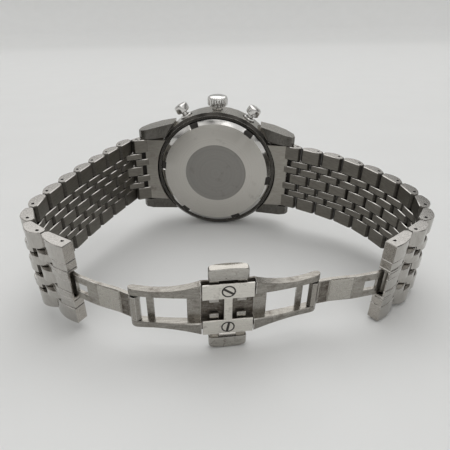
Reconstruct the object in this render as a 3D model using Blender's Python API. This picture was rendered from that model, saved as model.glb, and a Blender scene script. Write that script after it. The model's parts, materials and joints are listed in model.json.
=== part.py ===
"""Chronograph wristwatch on a steel link bracelet with a twin-blade folding clasp.

Watch frame: X towards 12 o'clock, Y towards the dial, Z towards the crown. The bracelet
loop lies in the XY plane and every bracelet hinge runs along Z.
"""

import math

import bmesh
import bpy
from mathutils import Matrix, Vector

MM = 0.001

# Bracelet, in millimetres
BAND_WIDTH = 22.0
LINK_THICK = 3.2
HALF_PITCH = 3.5
UNITS = 9
COLUMNS = (4.6, 2.2, 2.5, 3.4, 2.5, 2.2, 4.6)
COLUMN_GAP = 0.14
PIN_R = 0.45
PIN_PLAY = 0.3
BAR_R = 0.75
BAR_TIP_R = 0.4
BAR_REACH = 1.2
BLOCK_LENGTH = 6.4
BLOCK_PIVOT_BACK = 1.85
BLOCK_PIVOT_IN = 0.6
BLOCK_SKIN = 0.65

# Rest bend at each hinge from the case to the end block, in degrees
RIGHT_BENDS = (24.0, 3.0, 6.0, 10.0, 10.0, 7.0, 14.0, 19.5, 23.5, 18.0, 2.0)
LEFT_BENDS = (28.0, 43.0, 1.0, 2.0, 2.0, 3.0, 2.5, 11.5, 26.5, 29.5, 7.0)

# Case
CASE_R = 20.6
CASE_WALL = 3.0
CASE_BORE = CASE_R - CASE_WALL
CASE_BACK_Y = -4.2
CASE_FRONT_Y = 4.2
CASE_BEVEL = 0.9
BACK_SEAT = 1.6
LUG_WIDTH = 2.75
LUG_SPREAD = 52.0
LUG_TIP = 2.1
BAR_X = CASE_R + 2.8
BAR_Y = -3.6
BACK_MARGIN = 2.0
BACK_R = CASE_R - BACK_MARGIN
BACK_FACE_Y = -5.4
BACK_NOTCHES = 6
SPIGOT_R = CASE_BORE - 0.4
FIT = 0.3
SIDE_FIT = 0.15

# Front of the case and the works
BEZEL_R = CASE_R - 0.8
BEZEL_BORE = CASE_BORE - 1.3
BEZEL_TOP_Y = 6.4
CRYSTAL_R = BEZEL_BORE - 1.1
CRYSTAL_THICK = 1.8
DIAL_THICK = 0.4
MOVEMENT_R = CASE_BORE - 4.2
MOVEMENT_BACK_Y = -1.7
MOVEMENT_FRONT_Y = 1.6
POST_R = 0.4
SUB_DIAL_AT = MOVEMENT_R - 5.2
HAND_THICK = 0.22
HAND_STEP = 0.55
HOUR_LENGTH = CRYSTAL_R - 6.6
MINUTE_LENGTH = CRYSTAL_R - 2.0
SECONDS_LENGTH = CRYSTAL_R - 0.6
SUB_LENGTH = 3.0

# Crown and pushers
CROWN_R = 3.3
CROWN_LENGTH = 3.2
CROWN_LIFT = 1.2
STEM_R = 0.6
TUBE_WALL = 0.6
PUSHER_ANGLE = 30.0
PUSHER_R = 2.3
PUSHER_LENGTH = 2.7
PUSHER_STEM_R = 1.0
PUSHER_TRAVEL = 1.0

# Clasp
HINGE_HALF = 19.4
FRAME_BEND_R = 75.0
FRAME_THICK = 2.2
FRAME_BASE = 0.5
FRAME_YAW = 12.9
RAIL_IN = 3.45
RAIL_OUT = 5.2
CENTRE_OUT = 6.85
CENTRE_HALF = 5.5
HINGE_OUT = 0.2
BLADE_HALF = 3.2
BLADE_THICK = 0.8
BLADE_SPLAY = 24.0
BLADE_HOLE_HALF = 1.3
CLASP_PIN_R = 0.4
CLASP_PLAY = 0.25
COVER_THICK = 0.4
STEM_HALF = 0.9
BAR_INNER = 3.0
SCREW_HEAD_R = 1.2
SCREW_AT = 4.95
BUTTON_HALF = 4.25
BUTTON_END = 11.0
BUTTON_GAP = 1.0
CLAW_END = 1.6
FOLDED_GAP = 1.1
BLADE_CRANK = 0.65
CENTRE_GAP = 0.25

# Stance on the table, turn seen from above
PLAN_TURN = -4.6

for old in list(bpy.data.objects):
    bpy.data.objects.remove(old, do_unlink=True)

PITCH = 2.0 * HALF_PITCH
HALF_THICK = 0.5 * LINK_THICK
TURN_TO_DIAL = Matrix.Rotation(math.radians(-90.0), 4, "X")
objects = []
materials = {}


def slot(name, color, metallic, roughness):
    """Make one plain material."""
    mat = bpy.data.materials.new(name)
    mat.use_nodes = True
    shader = mat.node_tree.nodes["Principled BSDF"]
    shader.inputs["Base Color"].default_value = (*color, 1.0)
    shader.inputs["Metallic"].default_value = metallic
    shader.inputs["Roughness"].default_value = roughness
    materials[name] = mat


slot("satin_steel", (0.42, 0.41, 0.39), 1.0, 0.42)
slot("polished_steel", (0.60, 0.59, 0.57), 1.0, 0.16)
slot("back_steel", (0.52, 0.52, 0.51), 1.0, 0.38)
slot("crystal_glass", (0.86, 0.90, 0.92), 0.0, 0.05)
slot("seal_rubber", (0.03, 0.03, 0.03), 0.0, 0.7)
slot("dial_black", (0.02, 0.02, 0.025), 0.0, 0.35)
slot("movement_brass", (0.60, 0.47, 0.22), 1.0, 0.35)
slot("holder_plastic", (0.75, 0.75, 0.73), 0.0, 0.55)
slot("hand_steel", (0.78, 0.78, 0.76), 1.0, 0.22)


def circle(cx, cy, r, n):
    """Points of a regular polygon round a centre."""
    step = 2.0 * math.pi / n
    return [(cx + r * math.cos((k + 0.5) * step), cy + r * math.sin((k + 0.5) * step)) for k in range(n)]


def arc(cx, cy, r, a0, a1, n):
    """Points along an arc from angle a0 to a1 in degrees."""
    angles = [math.radians(a0 + (a1 - a0) * k / (n - 1)) for k in range(n)]
    return [(cx + r * math.cos(a), cy + r * math.sin(a)) for a in angles]


def loop(bm, points, z):
    """Closed loop of vertices and edges at one height."""
    verts = [bm.verts.new((x, y, z)) for x, y in points]
    for k in range(len(verts)):
        bm.edges.new((verts[k - 1], verts[k]))
    return verts


def wall(bm, low, high):
    """Quads between two matching loops."""
    n = len(low)
    for k in range(n):
        bm.faces.new((low[k - 1], low[k], high[k], high[k - 1]))


def cap(bm, loops):
    """Fill one plane bounded by an outline and any holes."""
    edges = []
    for ring in loops:
        for k in range(len(ring)):
            edges.append(bm.edges.get((ring[k - 1], ring[k])))
    bmesh.ops.triangle_fill(bm, use_beauty=True, use_dissolve=False, edges=edges)


def prism(bm, outline, lo, hi, bores=(), pegs=(), pits=(), low_ports=(), high_ports=()):
    """Straight prism with through bores, pegs on the high face, pits in the low one and open ports."""
    low = [loop(bm, outline, lo)]
    high = [loop(bm, outline, hi)]
    wall(bm, low[0], high[0])
    for ring in bores:
        low.append(loop(bm, ring, lo))
        high.append(loop(bm, ring, hi))
        wall(bm, low[-1], high[-1])
    for ring, height in pegs:
        high.append(loop(bm, ring, hi))
        top = loop(bm, ring, hi + height)
        wall(bm, high[-1], top)
        cap(bm, [top])
    for ring, depth in pits:
        low.append(loop(bm, ring, lo))
        end = loop(bm, ring, lo + depth)
        wall(bm, low[-1], end)
        cap(bm, [end])
    low_loops = [loop(bm, ring, lo) for ring in low_ports]
    high_loops = [loop(bm, ring, hi) for ring in high_ports]
    cap(bm, low + low_loops)
    cap(bm, high + high_loops)
    return low_loops, high_loops


def turned(bm, profile, n, ring=False):
    """Solid of revolution about Z from (radius, height) points; a ring closes on itself."""
    loops = [loop(bm, circle(0.0, 0.0, r, n), z) for r, z in profile]
    for k in range(len(loops) - 1):
        wall(bm, loops[k], loops[k + 1])
    if ring:
        wall(bm, loops[-1], loops[0])
    else:
        cap(bm, [loops[0]])
        cap(bm, [loops[-1]])


def cells(bm, counts, point, solid):
    """Skin of the solid cells of a bent grid, one closed body."""
    ni, nj, nk = counts
    corners = {}

    def corner(i, j, k):
        if (i, j, k) not in corners:
            corners[(i, j, k)] = bm.verts.new(point(i, j, k))
        return corners[(i, j, k)]

    def filled(i, j, k):
        inside = 0 <= i < ni and 0 <= j < nj and 0 <= k < nk
        return inside and solid(i, j, k)

    sides = (
        ((-1, 0, 0), ((0, 0, 0), (0, 0, 1), (0, 1, 1), (0, 1, 0))),
        ((1, 0, 0), ((1, 0, 0), (1, 1, 0), (1, 1, 1), (1, 0, 1))),
        ((0, -1, 0), ((0, 0, 0), (1, 0, 0), (1, 0, 1), (0, 0, 1))),
        ((0, 1, 0), ((0, 1, 0), (0, 1, 1), (1, 1, 1), (1, 1, 0))),
        ((0, 0, -1), ((0, 0, 0), (0, 1, 0), (1, 1, 0), (1, 0, 0))),
        ((0, 0, 1), ((0, 0, 1), (1, 0, 1), (1, 1, 1), (0, 1, 1))),
    )
    for i in range(ni):
        for j in range(nj):
            for k in range(nk):
                if not filled(i, j, k):
                    continue
                for (di, dj, dk), quad in sides:
                    if not filled(i + di, j + dj, k + dk):
                        bm.faces.new([corner(i + a, j + b, k + c) for a, b, c in quad])


def mesh_of(name, bm, turn=None):
    """Close the mesh, turn it if asked, scale it to metres."""
    if turn is not None:
        bmesh.ops.transform(bm, matrix=turn, verts=bm.verts)
    bmesh.ops.recalc_face_normals(bm, faces=bm.faces)
    bmesh.ops.triangulate(bm, faces=bm.faces)
    bmesh.ops.scale(bm, vec=(MM, MM, MM), verts=bm.verts)
    mesh = bpy.data.meshes.new(name)
    bm.to_mesh(mesh)
    bm.free()
    return mesh


def combine(base, tool, operation):
    """Boolean of two meshes, returned as a new mesh."""
    body = bpy.data.objects.new("body", base)
    cutter = bpy.data.objects.new("cutter", tool)
    bpy.context.scene.collection.objects.link(body)
    bpy.context.scene.collection.objects.link(cutter)
    mod = body.modifiers.new("combine", "BOOLEAN")
    mod.operation = operation
    mod.solver = "EXACT"
    mod.object = cutter
    bpy.context.view_layer.update()
    graph = bpy.context.evaluated_depsgraph_get()
    result = bpy.data.meshes.new_from_object(body.evaluated_get(graph))
    bpy.data.objects.remove(body, do_unlink=True)
    bpy.data.objects.remove(cutter, do_unlink=True)
    result.name = base.name
    return result


stance = bpy.data.objects.new("stance", None)
bpy.context.scene.collection.objects.link(stance)


def place(name, mesh, mat, at=(0.0, 0.0, 0.0), turn=(0.0, 0.0, 0.0), axis=None):
    """Put a mesh in the watch frame, under an empty on its hinge when that is elsewhere."""
    obj = bpy.data.objects.new(name, mesh)
    if not mesh.materials:
        mesh.materials.append(materials[mat])
    parent = stance
    spot = Vector(at)
    if axis is not None:
        parent = bpy.data.objects.new(name + "_axis", None)
        parent.location = Vector(axis) * MM
        parent.parent = stance
        bpy.context.scene.collection.objects.link(parent)
        spot = spot - Vector(axis)
    obj.location = spot * MM
    obj.rotation_euler = turn
    obj.parent = parent
    bpy.context.scene.collection.objects.link(obj)
    objects.append(obj)
    return obj


# Bracelet columns
share = BAND_WIDTH / sum(COLUMNS)
edges_z = [-0.5 * BAND_WIDTH]
for width in COLUMNS:
    edges_z.append(edges_z[-1] + width * share)
column_lo = [edges_z[k] + (0.5 * COLUMN_GAP if k else 0.0) for k in range(7)]
column_hi = [edges_z[k + 1] - (0.5 * COLUMN_GAP if k < 6 else 0.0) for k in range(7)]
BORE_R = (PIN_R + PIN_PLAY) / math.cos(math.pi / 6.0)
BAR_BORE_R = (BAR_R + PIN_PLAY) / math.cos(math.pi / 8.0)


def capsule(s0, s1):
    """Side outline of a link whose round ends centre on two pins."""
    return arc(s0, 0.0, HALF_THICK, 90.0, 270.0, 4) + arc(s1, 0.0, HALF_THICK, -90.0, 90.0, 4)


def link_mesh(name, on_bar):
    """Four outer links and three inner links pinned as one; the first axis is a pin or a bar bore."""
    bm = bmesh.new()
    first = circle(0.0, 0.0, PIN_R, 6)
    shared = circle(HALF_PITCH, 0.0, PIN_R, 6)
    low = []
    high = []
    for k in range(7):
        outer = k % 2 == 0
        bores = []
        ports = [shared]
        if outer and on_bar:
            bores.append(circle(0.0, 0.0, BAR_BORE_R, 8))
        elif outer:
            ports.append(first)
        else:
            bores.append(circle(PITCH, 0.0, BORE_R, 6))
        outline = capsule(0.0, HALF_PITCH) if outer else capsule(HALF_PITCH, PITCH)
        low_ports = ports if k > 0 else ()
        high_ports = ports if k < 6 else ()
        lo, hi = prism(bm, outline, column_lo[k], column_hi[k], bores, (), (), low_ports, high_ports)
        low.append(lo)
        high.append(hi)
    for k in range(6):
        wall(bm, high[k][0], low[k + 1][0])
    if not on_bar:
        for k in (0, 2, 4):
            wall(bm, high[k][1], low[k + 2][1])
    return mesh_of(name, bm)


def block_mesh():
    """End block: four tongues on a pin and a full-width head with a slot for the blade."""
    bm = bmesh.new()
    nub = PIN_R / math.sqrt(2.0)
    head = HALF_THICK + FIT
    slot_half = BLADE_HALF + FIT
    pivot_s = BLOCK_LENGTH - BLOCK_PIVOT_BACK
    slot_floor = pivot_s - BLOCK_PIVOT_BACK
    ss = (-HALF_THICK * 0.866, -nub, nub, head, slot_floor, BLOCK_LENGTH)
    ys = (-HALF_THICK, -HALF_THICK + BLOCK_PIVOT_IN, -nub, nub, HALF_THICK - BLOCK_SKIN, HALF_THICK)
    zs = [column_lo[0], column_hi[0], column_lo[2], -slot_half, column_hi[2]]
    zs = zs + [-z for z in reversed(zs)]
    tongue = (0, 2, 3, 5, 6, 8)

    def point(i, j, k):
        y = ys[j]
        if i == 0:
            y = 0.5 * y
        return (ss[i], y, zs[k])

    def solid(i, j, k):
        if i < 3:
            return k in tongue or (i == 1 and j == 2)
        if k in (3, 4, 5):
            return j == 4 or (i == 3 and j > 0)
        return True

    cells(bm, (5, 5, 9), point, solid)
    body = mesh_of("end_block", bm)
    bm = bmesh.new()
    reach = slot_half + 2.0
    hole = circle(pivot_s, -BLOCK_PIVOT_IN, CLASP_PIN_R + CLASP_PLAY, 10)
    prism(bm, hole, -reach, reach)
    return combine(body, mesh_of("hole", bm), "DIFFERENCE")


def blade_mesh(length):
    """Blade with a bored eye at each end and a window, cranked to pass under the folded end block."""
    bm = bmesh.new()
    eye = 1.0
    barrel = 1.1
    half = 0.5 * BLADE_THICK
    a = math.degrees(math.asin(half / eye))
    b = math.degrees(math.asin(half / barrel))
    low = [(2.6, BLADE_CRANK - half), (0.45 * length, BLADE_CRANK - half), (0.75 * length, -half)]
    high = [(x, y + BLADE_THICK) for x, y in reversed(low)]
    outline = arc(0.0, 0.0, eye, a + 12.0, 360.0 - a + 12.0, 7) + low
    outline = outline + arc(length, 0.0, barrel, b - 180.0, 180.0 - b, 7) + high
    bore = (CLASP_PIN_R + CLASP_PLAY) / math.cos(math.pi / 8.0)
    bores = [circle(0.0, 0.0, bore, 8), circle(length, 0.0, bore, 8)]
    prism(bm, outline, -BLADE_HALF, BLADE_HALF, bores)
    body = mesh_of("blade", bm)
    bm = bmesh.new()
    window = [(0.14 * length, -2.0), (0.32 * length, -2.0), (0.32 * length, 3.0), (0.14 * length, 3.0)]
    prism(bm, window, -BLADE_HOLE_HALF, BLADE_HOLE_HALF)
    return combine(body, mesh_of("blade_window", bm), "DIFFERENCE")


def rod(name, profile, n=10):
    """Turned part along Z."""
    bm = bmesh.new()
    turned(bm, profile, n)
    return mesh_of(name, bm)


# Clasp frame, with X along the clasp and Y towards the wrist
def drop(u):
    """How far the bowed frame falls back towards the wrist at u."""
    return FRAME_BEND_R - math.sqrt(FRAME_BEND_R ** 2 - u ** 2)


HINGE_IN = drop(HINGE_HALF) - HINGE_OUT
HALF_FRAME = 0.5 * FRAME_THICK
BASE_TOP = -HALF_FRAME + FRAME_BASE
CLAW_LO = BASE_TOP + FIT
CLAW_HI = CLAW_LO + 0.5
COVER_LO = CLAW_HI + FIT
COVER_HI = COVER_LO + COVER_THICK
FOLD_OUT = HALF_FRAME + FOLDED_GAP + HALF_THICK - BLOCK_PIVOT_IN
FOLD_ALONG = CENTRE_GAP + BLOCK_PIVOT_BACK
BLADE_LENGTH = math.hypot(HINGE_HALF - FOLD_ALONG, FOLD_OUT + HINGE_IN)
SPAN = 2.0 * HINGE_HALF + 2.0 * BLADE_LENGTH * math.cos(math.radians(BLADE_SPLAY))


def frame_mesh():
    """Bowed frame: two rails, two thin cross bars and a thin base under the cover."""
    bm = bmesh.new()
    end = HINGE_HALF + 1.25
    bar_in = HINGE_HALF - 3.9
    bar_out = HINGE_HALF - 2.3
    plate = CENTRE_HALF + 3.1
    centre = CENTRE_HALF + 0.2
    half = (centre, plate, 0.5 * (plate + bar_in), bar_in, bar_out, end)
    us = [-u for u in reversed(half)] + list(half)
    vs = (-HALF_FRAME, BASE_TOP, HALF_FRAME)
    flare = {0: CENTRE_OUT, 1: 0.5 * (CENTRE_OUT + RAIL_OUT) + 0.3}

    def point(i, j, k):
        u = us[i]
        ring = i - 6 if i > 5 else 5 - i
        out = flare.get(ring, RAIL_OUT)
        z = (-out, -RAIL_IN, RAIL_IN, out)[k]
        return (u, drop(u) - vs[j], z)

    def solid(i, j, k):
        ring = abs(i - 5)
        if ring == 0:
            return j == 0
        if k != 1:
            return True
        return j == 0 and ring in (1, 4)

    cells(bm, (11, 2, 3), point, solid)
    body = mesh_of("clasp_frame", bm)
    bm = bmesh.new()
    for side in (-1.0, 1.0):
        hole = circle(side * HINGE_HALF, HINGE_IN, CLASP_PIN_R + CLASP_PLAY, 10)
        prism(bm, hole, -RAIL_OUT - 1.0, RAIL_OUT + 1.0)
    body = combine(body, mesh_of("hinges", bm), "DIFFERENCE")
    return combine(body, screw_holes(), "DIFFERENCE")


def screw_holes():
    """Two clearance holes through the clasp along Y."""
    bm = bmesh.new()
    for side in (-1.0, 1.0):
        hole = circle(0.0, side * SCREW_AT, 0.5 * SCREW_HEAD_R + FIT, 12)
        prism(bm, hole, -FRAME_THICK, FRAME_THICK)
    return mesh_of("screw_holes", bm, TURN_TO_DIAL)


def cover_mesh():
    """Flat cover: two bars joined by a stem."""
    bm = bmesh.new()
    us = (-CENTRE_HALF, -STEM_HALF, STEM_HALF, CENTRE_HALF)
    zs = (-CENTRE_OUT, -BAR_INNER, BAR_INNER, CENTRE_OUT)
    ys = (-COVER_HI, -COVER_LO)

    def point(i, j, k):
        return (us[i], ys[j], zs[k])

    def solid(i, j, k):
        return k != 1 or i == 1

    cells(bm, (3, 1, 3), point, solid)
    return combine(mesh_of("clasp_cover", bm), screw_holes(), "DIFFERENCE")


def button_mesh():
    """Push button with two claws that slide between the base and the cover."""
    bm = bmesh.new()
    fork = SCREW_HEAD_R * 0.5 + 1.3
    us = (-BUTTON_HALF, -BUTTON_HALF + 0.25, -fork, fork, BUTTON_HALF - 0.25, BUTTON_HALF)
    zs = (CLAW_END, CENTRE_OUT + BUTTON_GAP, BUTTON_END - 0.6, BUTTON_END)
    ys = (-HALF_FRAME, -CLAW_HI, -CLAW_LO, HALF_FRAME)

    def point(i, j, k):
        shrink = 0.82 if k == 3 else 1.0
        return (us[i] * (0.5 + 0.5 * shrink), ys[j] * shrink, zs[k])

    def solid(i, j, k):
        return k > 0 or (j == 1 and i in (1, 3))

    cells(bm, (5, 3, 3), point, solid)
    return mesh_of("clasp_button", bm)


# Case parts, turned about the dial axis
def ring_part(name, profile, n=40):
    """Turned ring about the dial axis from (radius, y) points."""
    bm = bmesh.new()
    turned(bm, profile, n, True)
    return mesh_of(name, bm, TURN_TO_DIAL)


def disc_part(name, r, lo, hi, n=36, bores=(), pegs=()):
    """Flat disc about the dial axis with holes and pegs."""
    bm = bmesh.new()
    prism(bm, circle(0.0, 0.0, r, n), lo, hi, bores, pegs)
    return mesh_of(name, bm, TURN_TO_DIAL)


def radial_rods(name, rods):
    """Straight cutters along the crown axis, each given as angle, radius, start and end."""
    bm = bmesh.new()
    for angle, r, lo, hi in rods:
        part = bmesh.new()
        prism(part, circle(0.0, 0.0, r, 12), lo, hi)
        bmesh.ops.transform(part, matrix=Matrix.Rotation(math.radians(angle), 4, "Y"), verts=part.verts)
        temp = bpy.data.meshes.new("temp")
        part.to_mesh(temp)
        part.free()
        bm.from_mesh(temp)
        bpy.data.meshes.remove(temp)
    return mesh_of(name, bm)


LUG_IN = 0.5 * BAND_WIDTH + SIDE_FIT
LUG_OUT = LUG_IN + LUG_WIDTH
TIP_HOLE_R = BAR_TIP_R + FIT
TUBE_R = STEM_R + FIT + TUBE_WALL
PUSH_TUBE_R = PUSHER_STEM_R + FIT + TUBE_WALL
PUSHERS = (("start_pusher", PUSHER_ANGLE), ("reset_pusher", -PUSHER_ANGLE))


def lug_plan(tip):
    """Plan of the four lugs: straight inside, spreading outside to meet the case."""
    inner = BACK_R + FIT + 0.4
    spread = math.radians(LUG_SPREAD)
    start = math.degrees(math.asin(LUG_IN / inner))
    edge = [(inner * math.cos(math.radians(start)), LUG_IN), (tip + 0.5, LUG_IN), (tip + 0.5, LUG_OUT)]
    edge = edge + [(tip - 0.5, LUG_OUT + 0.15), (CASE_R * math.cos(spread), CASE_R * math.sin(spread))]
    edge = edge + arc(0.0, 0.0, inner, LUG_SPREAD, start, 5)[:-1]
    bm = bmesh.new()
    for side in (-1.0, 1.0):
        for face in (-1.0, 1.0):
            prism(bm, [(side * x, face * z) for x, z in edge], -CASE_R, CASE_R)
    return mesh_of("lug_plan", bm, Matrix.Rotation(math.radians(90.0), 4, "X"))


def case_mesh():
    """Case ring with four lugs, blind bar holes and three radial bores."""
    seat = BACK_R + FIT
    rim = CASE_R - CASE_BEVEL
    step_y = CASE_BACK_Y + BACK_SEAT
    profile = [
        (CASE_BORE, step_y),
        (seat, step_y),
        (seat, CASE_BACK_Y),
        (rim, CASE_BACK_Y),
        (CASE_R, CASE_BACK_Y + CASE_BEVEL),
        (CASE_R, CASE_FRONT_Y - 1.0),
        (CASE_R - 0.7, CASE_FRONT_Y),
        (CASE_BORE, CASE_FRONT_Y),
    ]
    body = ring_part("mid_case", profile, 48)
    root = math.sqrt(CASE_BORE ** 2 - LUG_IN ** 2) + 0.7
    tip = BAR_X + LUG_TIP
    bm = bmesh.new()
    for side in (-1.0, 1.0):
        shape = [(root, CASE_FRONT_Y - 0.8), (0.75 * CASE_R + 3.4, CASE_FRONT_Y - 1.2)]
        shape = shape + [(BAR_X - 0.6, BAR_Y + 4.4), (tip - 0.3, BAR_Y + 1.7), (tip, BAR_Y - 0.8)]
        shape = shape + [(tip - 0.9, BAR_Y - 1.9), (BAR_X - 0.9, BAR_Y - 1.9)]
        shape = shape + [(root, CASE_BACK_Y + BACK_SEAT + 0.5)]
        outline = [(side * x, y) for x, y in shape]
        prism(bm, outline, -CASE_R, CASE_R)
    lugs = combine(mesh_of("lugs", bm), lug_plan(tip), "INTERSECT")
    body = combine(body, lugs, "UNION")
    bm = bmesh.new()
    for side in (-1.0, 1.0):
        hole = circle(side * BAR_X, BAR_Y, TIP_HOLE_R, 10)
        prism(bm, hole, LUG_IN - 1.0, LUG_IN + BAR_REACH + 0.6)
        prism(bm, hole, -LUG_IN - BAR_REACH - 0.6, 1.0 - LUG_IN)
    body = combine(body, mesh_of("bar_holes", bm), "DIFFERENCE")
    outer = CASE_R + 1.0
    inner = CASE_BORE - 1.0
    rods = [(0.0, TUBE_R + FIT, inner, outer)]
    for _, angle in PUSHERS:
        rods.append((angle, PUSH_TUBE_R + FIT, inner, outer))
    return combine(body, radial_rods("bores", rods), "DIFFERENCE")


def back_mesh():
    """Screw-down case back with a bevelled, notched rim and a shallow centre dish."""
    bm = bmesh.new()
    n = 72
    step = 2.0 * math.pi / n

    def ring(r, y, cut):
        points = []
        for k in range(n):
            notch = k % (n // BACK_NOTCHES) in (0, 1)
            q = r - cut if notch else r
            points.append((q * math.cos((k + 3.5) * step), q * math.sin((k + 3.5) * step)))
        return loop(bm, points, y)

    flange_y = CASE_BACK_Y + BACK_SEAT - 0.9
    dish = 0.54 * BACK_R
    rings = [
        ring(dish - 0.2, BACK_FACE_Y + 0.25, 0.0),
        ring(dish, BACK_FACE_Y, 0.0),
        ring(BACK_R - 1.5, BACK_FACE_Y, 0.0),
        ring(BACK_R - 0.5, BACK_FACE_Y + 0.2, 0.9),
        ring(BACK_R, BACK_FACE_Y + 0.8, 0.9),
        ring(BACK_R, flange_y, 0.9),
        ring(SPIGOT_R, flange_y, 0.0),
        ring(SPIGOT_R, MOVEMENT_BACK_Y - FIT, 0.0),
    ]
    for k in range(len(rings) - 1):
        wall(bm, rings[k], rings[k + 1])
    cap(bm, [rings[0]])
    cap(bm, [rings[-1]])
    return mesh_of("case_back", bm, TURN_TO_DIAL)


place("mid_case", case_mesh(), "polished_steel")
place("case_back", back_mesh(), "back_steel")
seal_y = CASE_BACK_Y + BACK_SEAT - 0.6
seal = [(CASE_BORE + 0.2, seal_y), (BACK_R, seal_y), (BACK_R, seal_y + 0.3), (CASE_BORE + 0.2, seal_y + 0.3)]
place("case_back_gasket", ring_part("case_back_gasket", seal, 36), "seal_rubber")

dial_y = MOVEMENT_FRONT_Y + FIT
dial_top = dial_y + DIAL_THICK
bezel_y = CASE_FRONT_Y + FIT
skirt_r = CASE_BORE - FIT
bezel = [
    (BEZEL_BORE, dial_top + FIT),
    (skirt_r, dial_top + FIT),
    (skirt_r, bezel_y),
    (BEZEL_R, bezel_y),
    (BEZEL_R, bezel_y + 0.6),
    (BEZEL_R - 1.2, BEZEL_TOP_Y),
    (BEZEL_BORE, BEZEL_TOP_Y),
]
place("bezel", ring_part("bezel", bezel, 48), "polished_steel")
crystal_y = BEZEL_TOP_Y + 0.2 - CRYSTAL_THICK
place("crystal", disc_part("crystal", CRYSTAL_R, crystal_y, crystal_y + CRYSTAL_THICK, 48), "crystal_glass")
grip = [
    (CRYSTAL_R + FIT, crystal_y),
    (BEZEL_BORE - FIT, crystal_y),
    (BEZEL_BORE - FIT, BEZEL_TOP_Y - 0.2),
    (CRYSTAL_R + FIT, BEZEL_TOP_Y - 0.2),
]
place("crystal_gasket", ring_part("crystal_gasket", grip, 48), "seal_rubber")

# Sub-dials at 6, 9 and 12 o'clock, as places on the dial in X and Z
sub_spots = {
    "running_seconds_hand": (0.0, -SUB_DIAL_AT),
    "minute_counter_hand": (SUB_DIAL_AT, 0.0),
    "hour_counter_hand": (-SUB_DIAL_AT, 0.0),
}
HUB_BORE = POST_R + FIT
sub_y = dial_top + FIT
hour_y = sub_y + HAND_STEP
minute_y = hour_y + HAND_STEP
seconds_y = minute_y + HAND_STEP
holes = [circle(0.0, 0.0, HUB_BORE, 12)]
posts = [(circle(0.0, 0.0, POST_R, 8), seconds_y + HAND_THICK - MOVEMENT_FRONT_Y)]
for x, z in sub_spots.values():
    holes.append(circle(x, -z, HUB_BORE, 10))
    posts.append((circle(x, -z, POST_R, 8), sub_y + HAND_THICK - MOVEMENT_FRONT_Y))
place("dial", disc_part("dial", skirt_r, dial_y, dial_top, 48, holes), "dial_black")
stem_cut = [(0.0, STEM_R + FIT, 0.62 * MOVEMENT_R, CASE_BORE)]
works = disc_part("movement", MOVEMENT_R, MOVEMENT_BACK_Y, MOVEMENT_FRONT_Y, 36, (), posts)
place("movement", combine(works, radial_rods("stem_cut", stem_cut), "DIFFERENCE"), "movement_brass")
holder = [
    (MOVEMENT_R + FIT, MOVEMENT_BACK_Y),
    (skirt_r, MOVEMENT_BACK_Y),
    (skirt_r, MOVEMENT_FRONT_Y),
    (MOVEMENT_R + FIT, MOVEMENT_FRONT_Y),
]
carrier = ring_part("movement_holder", holder, 40)
place("movement_holder", combine(carrier, radial_rods("stem_cut", stem_cut), "DIFFERENCE"), "holder_plastic")


def hand_mesh(name, length, hub, half_width, y):
    """Hand with a bored hub, its pointer along X."""
    bm = bmesh.new()
    a = math.degrees(math.asin(half_width / hub))
    outline = arc(0.0, 0.0, hub, a, 360.0 - a, 9) + [(length, -0.1), (length, 0.1)]
    prism(bm, outline, y, y + HAND_THICK, [circle(0.0, 0.0, HUB_BORE, 8)])
    return mesh_of(name, bm, TURN_TO_DIAL)


hands = (
    ("hour_hand", HOUR_LENGTH, 1.3, 0.55, hour_y, (0.0, 0.0), 56.0),
    ("minute_hand", MINUTE_LENGTH, 1.2, 0.42, minute_y, (0.0, 0.0), -48.0),
    ("chrono_seconds_hand", SECONDS_LENGTH, 1.1, 0.22, seconds_y, (0.0, 0.0), 0.0),
    ("running_seconds_hand", SUB_LENGTH, 1.0, 0.2, sub_y, sub_spots["running_seconds_hand"], -130.0),
    ("minute_counter_hand", SUB_LENGTH, 1.0, 0.2, sub_y, sub_spots["minute_counter_hand"], 0.0),
    ("hour_counter_hand", SUB_LENGTH, 1.0, 0.2, sub_y, sub_spots["hour_counter_hand"], 0.0),
)
for name, length, hub, half_width, y, (x, z), angle in hands:
    mesh = hand_mesh(name, length, hub, half_width, y)
    place(name, mesh, "hand_steel", (x, 0.0, z), (0.0, math.radians(angle), 0.0))

# Crown and pushers
tube_end = CASE_R + 0.6
crown_lo = CASE_R + CROWN_LIFT
bm = bmesh.new()
flutes = []
for k in range(32):
    radius = CROWN_R if k % 2 else CROWN_R - 0.28
    flutes.append((radius * math.cos(math.pi * k / 16.0), radius * math.sin(math.pi * k / 16.0)))
pit_depth = 0.65 * CROWN_LENGTH
prism(bm, flutes, crown_lo, crown_lo + CROWN_LENGTH, (), (), [(circle(0.0, 0.0, STEM_R + FIT, 8), pit_depth)])
place("crown", mesh_of("crown", bm), "polished_steel")
stem_profile = [(STEM_R, 0.62 * MOVEMENT_R + FIT), (STEM_R, crown_lo + pit_depth - FIT)]
place("winding_stem", rod("winding_stem", stem_profile, 8), "satin_steel")


def tube_mesh(name, bore, outer):
    """Short tube set in the case wall."""
    bm = bmesh.new()
    lo = CASE_BORE + FIT
    turned(bm, [(bore, lo), (outer, lo), (outer, tube_end), (bore, tube_end)], 14, True)
    return mesh_of(name, bm)


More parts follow.
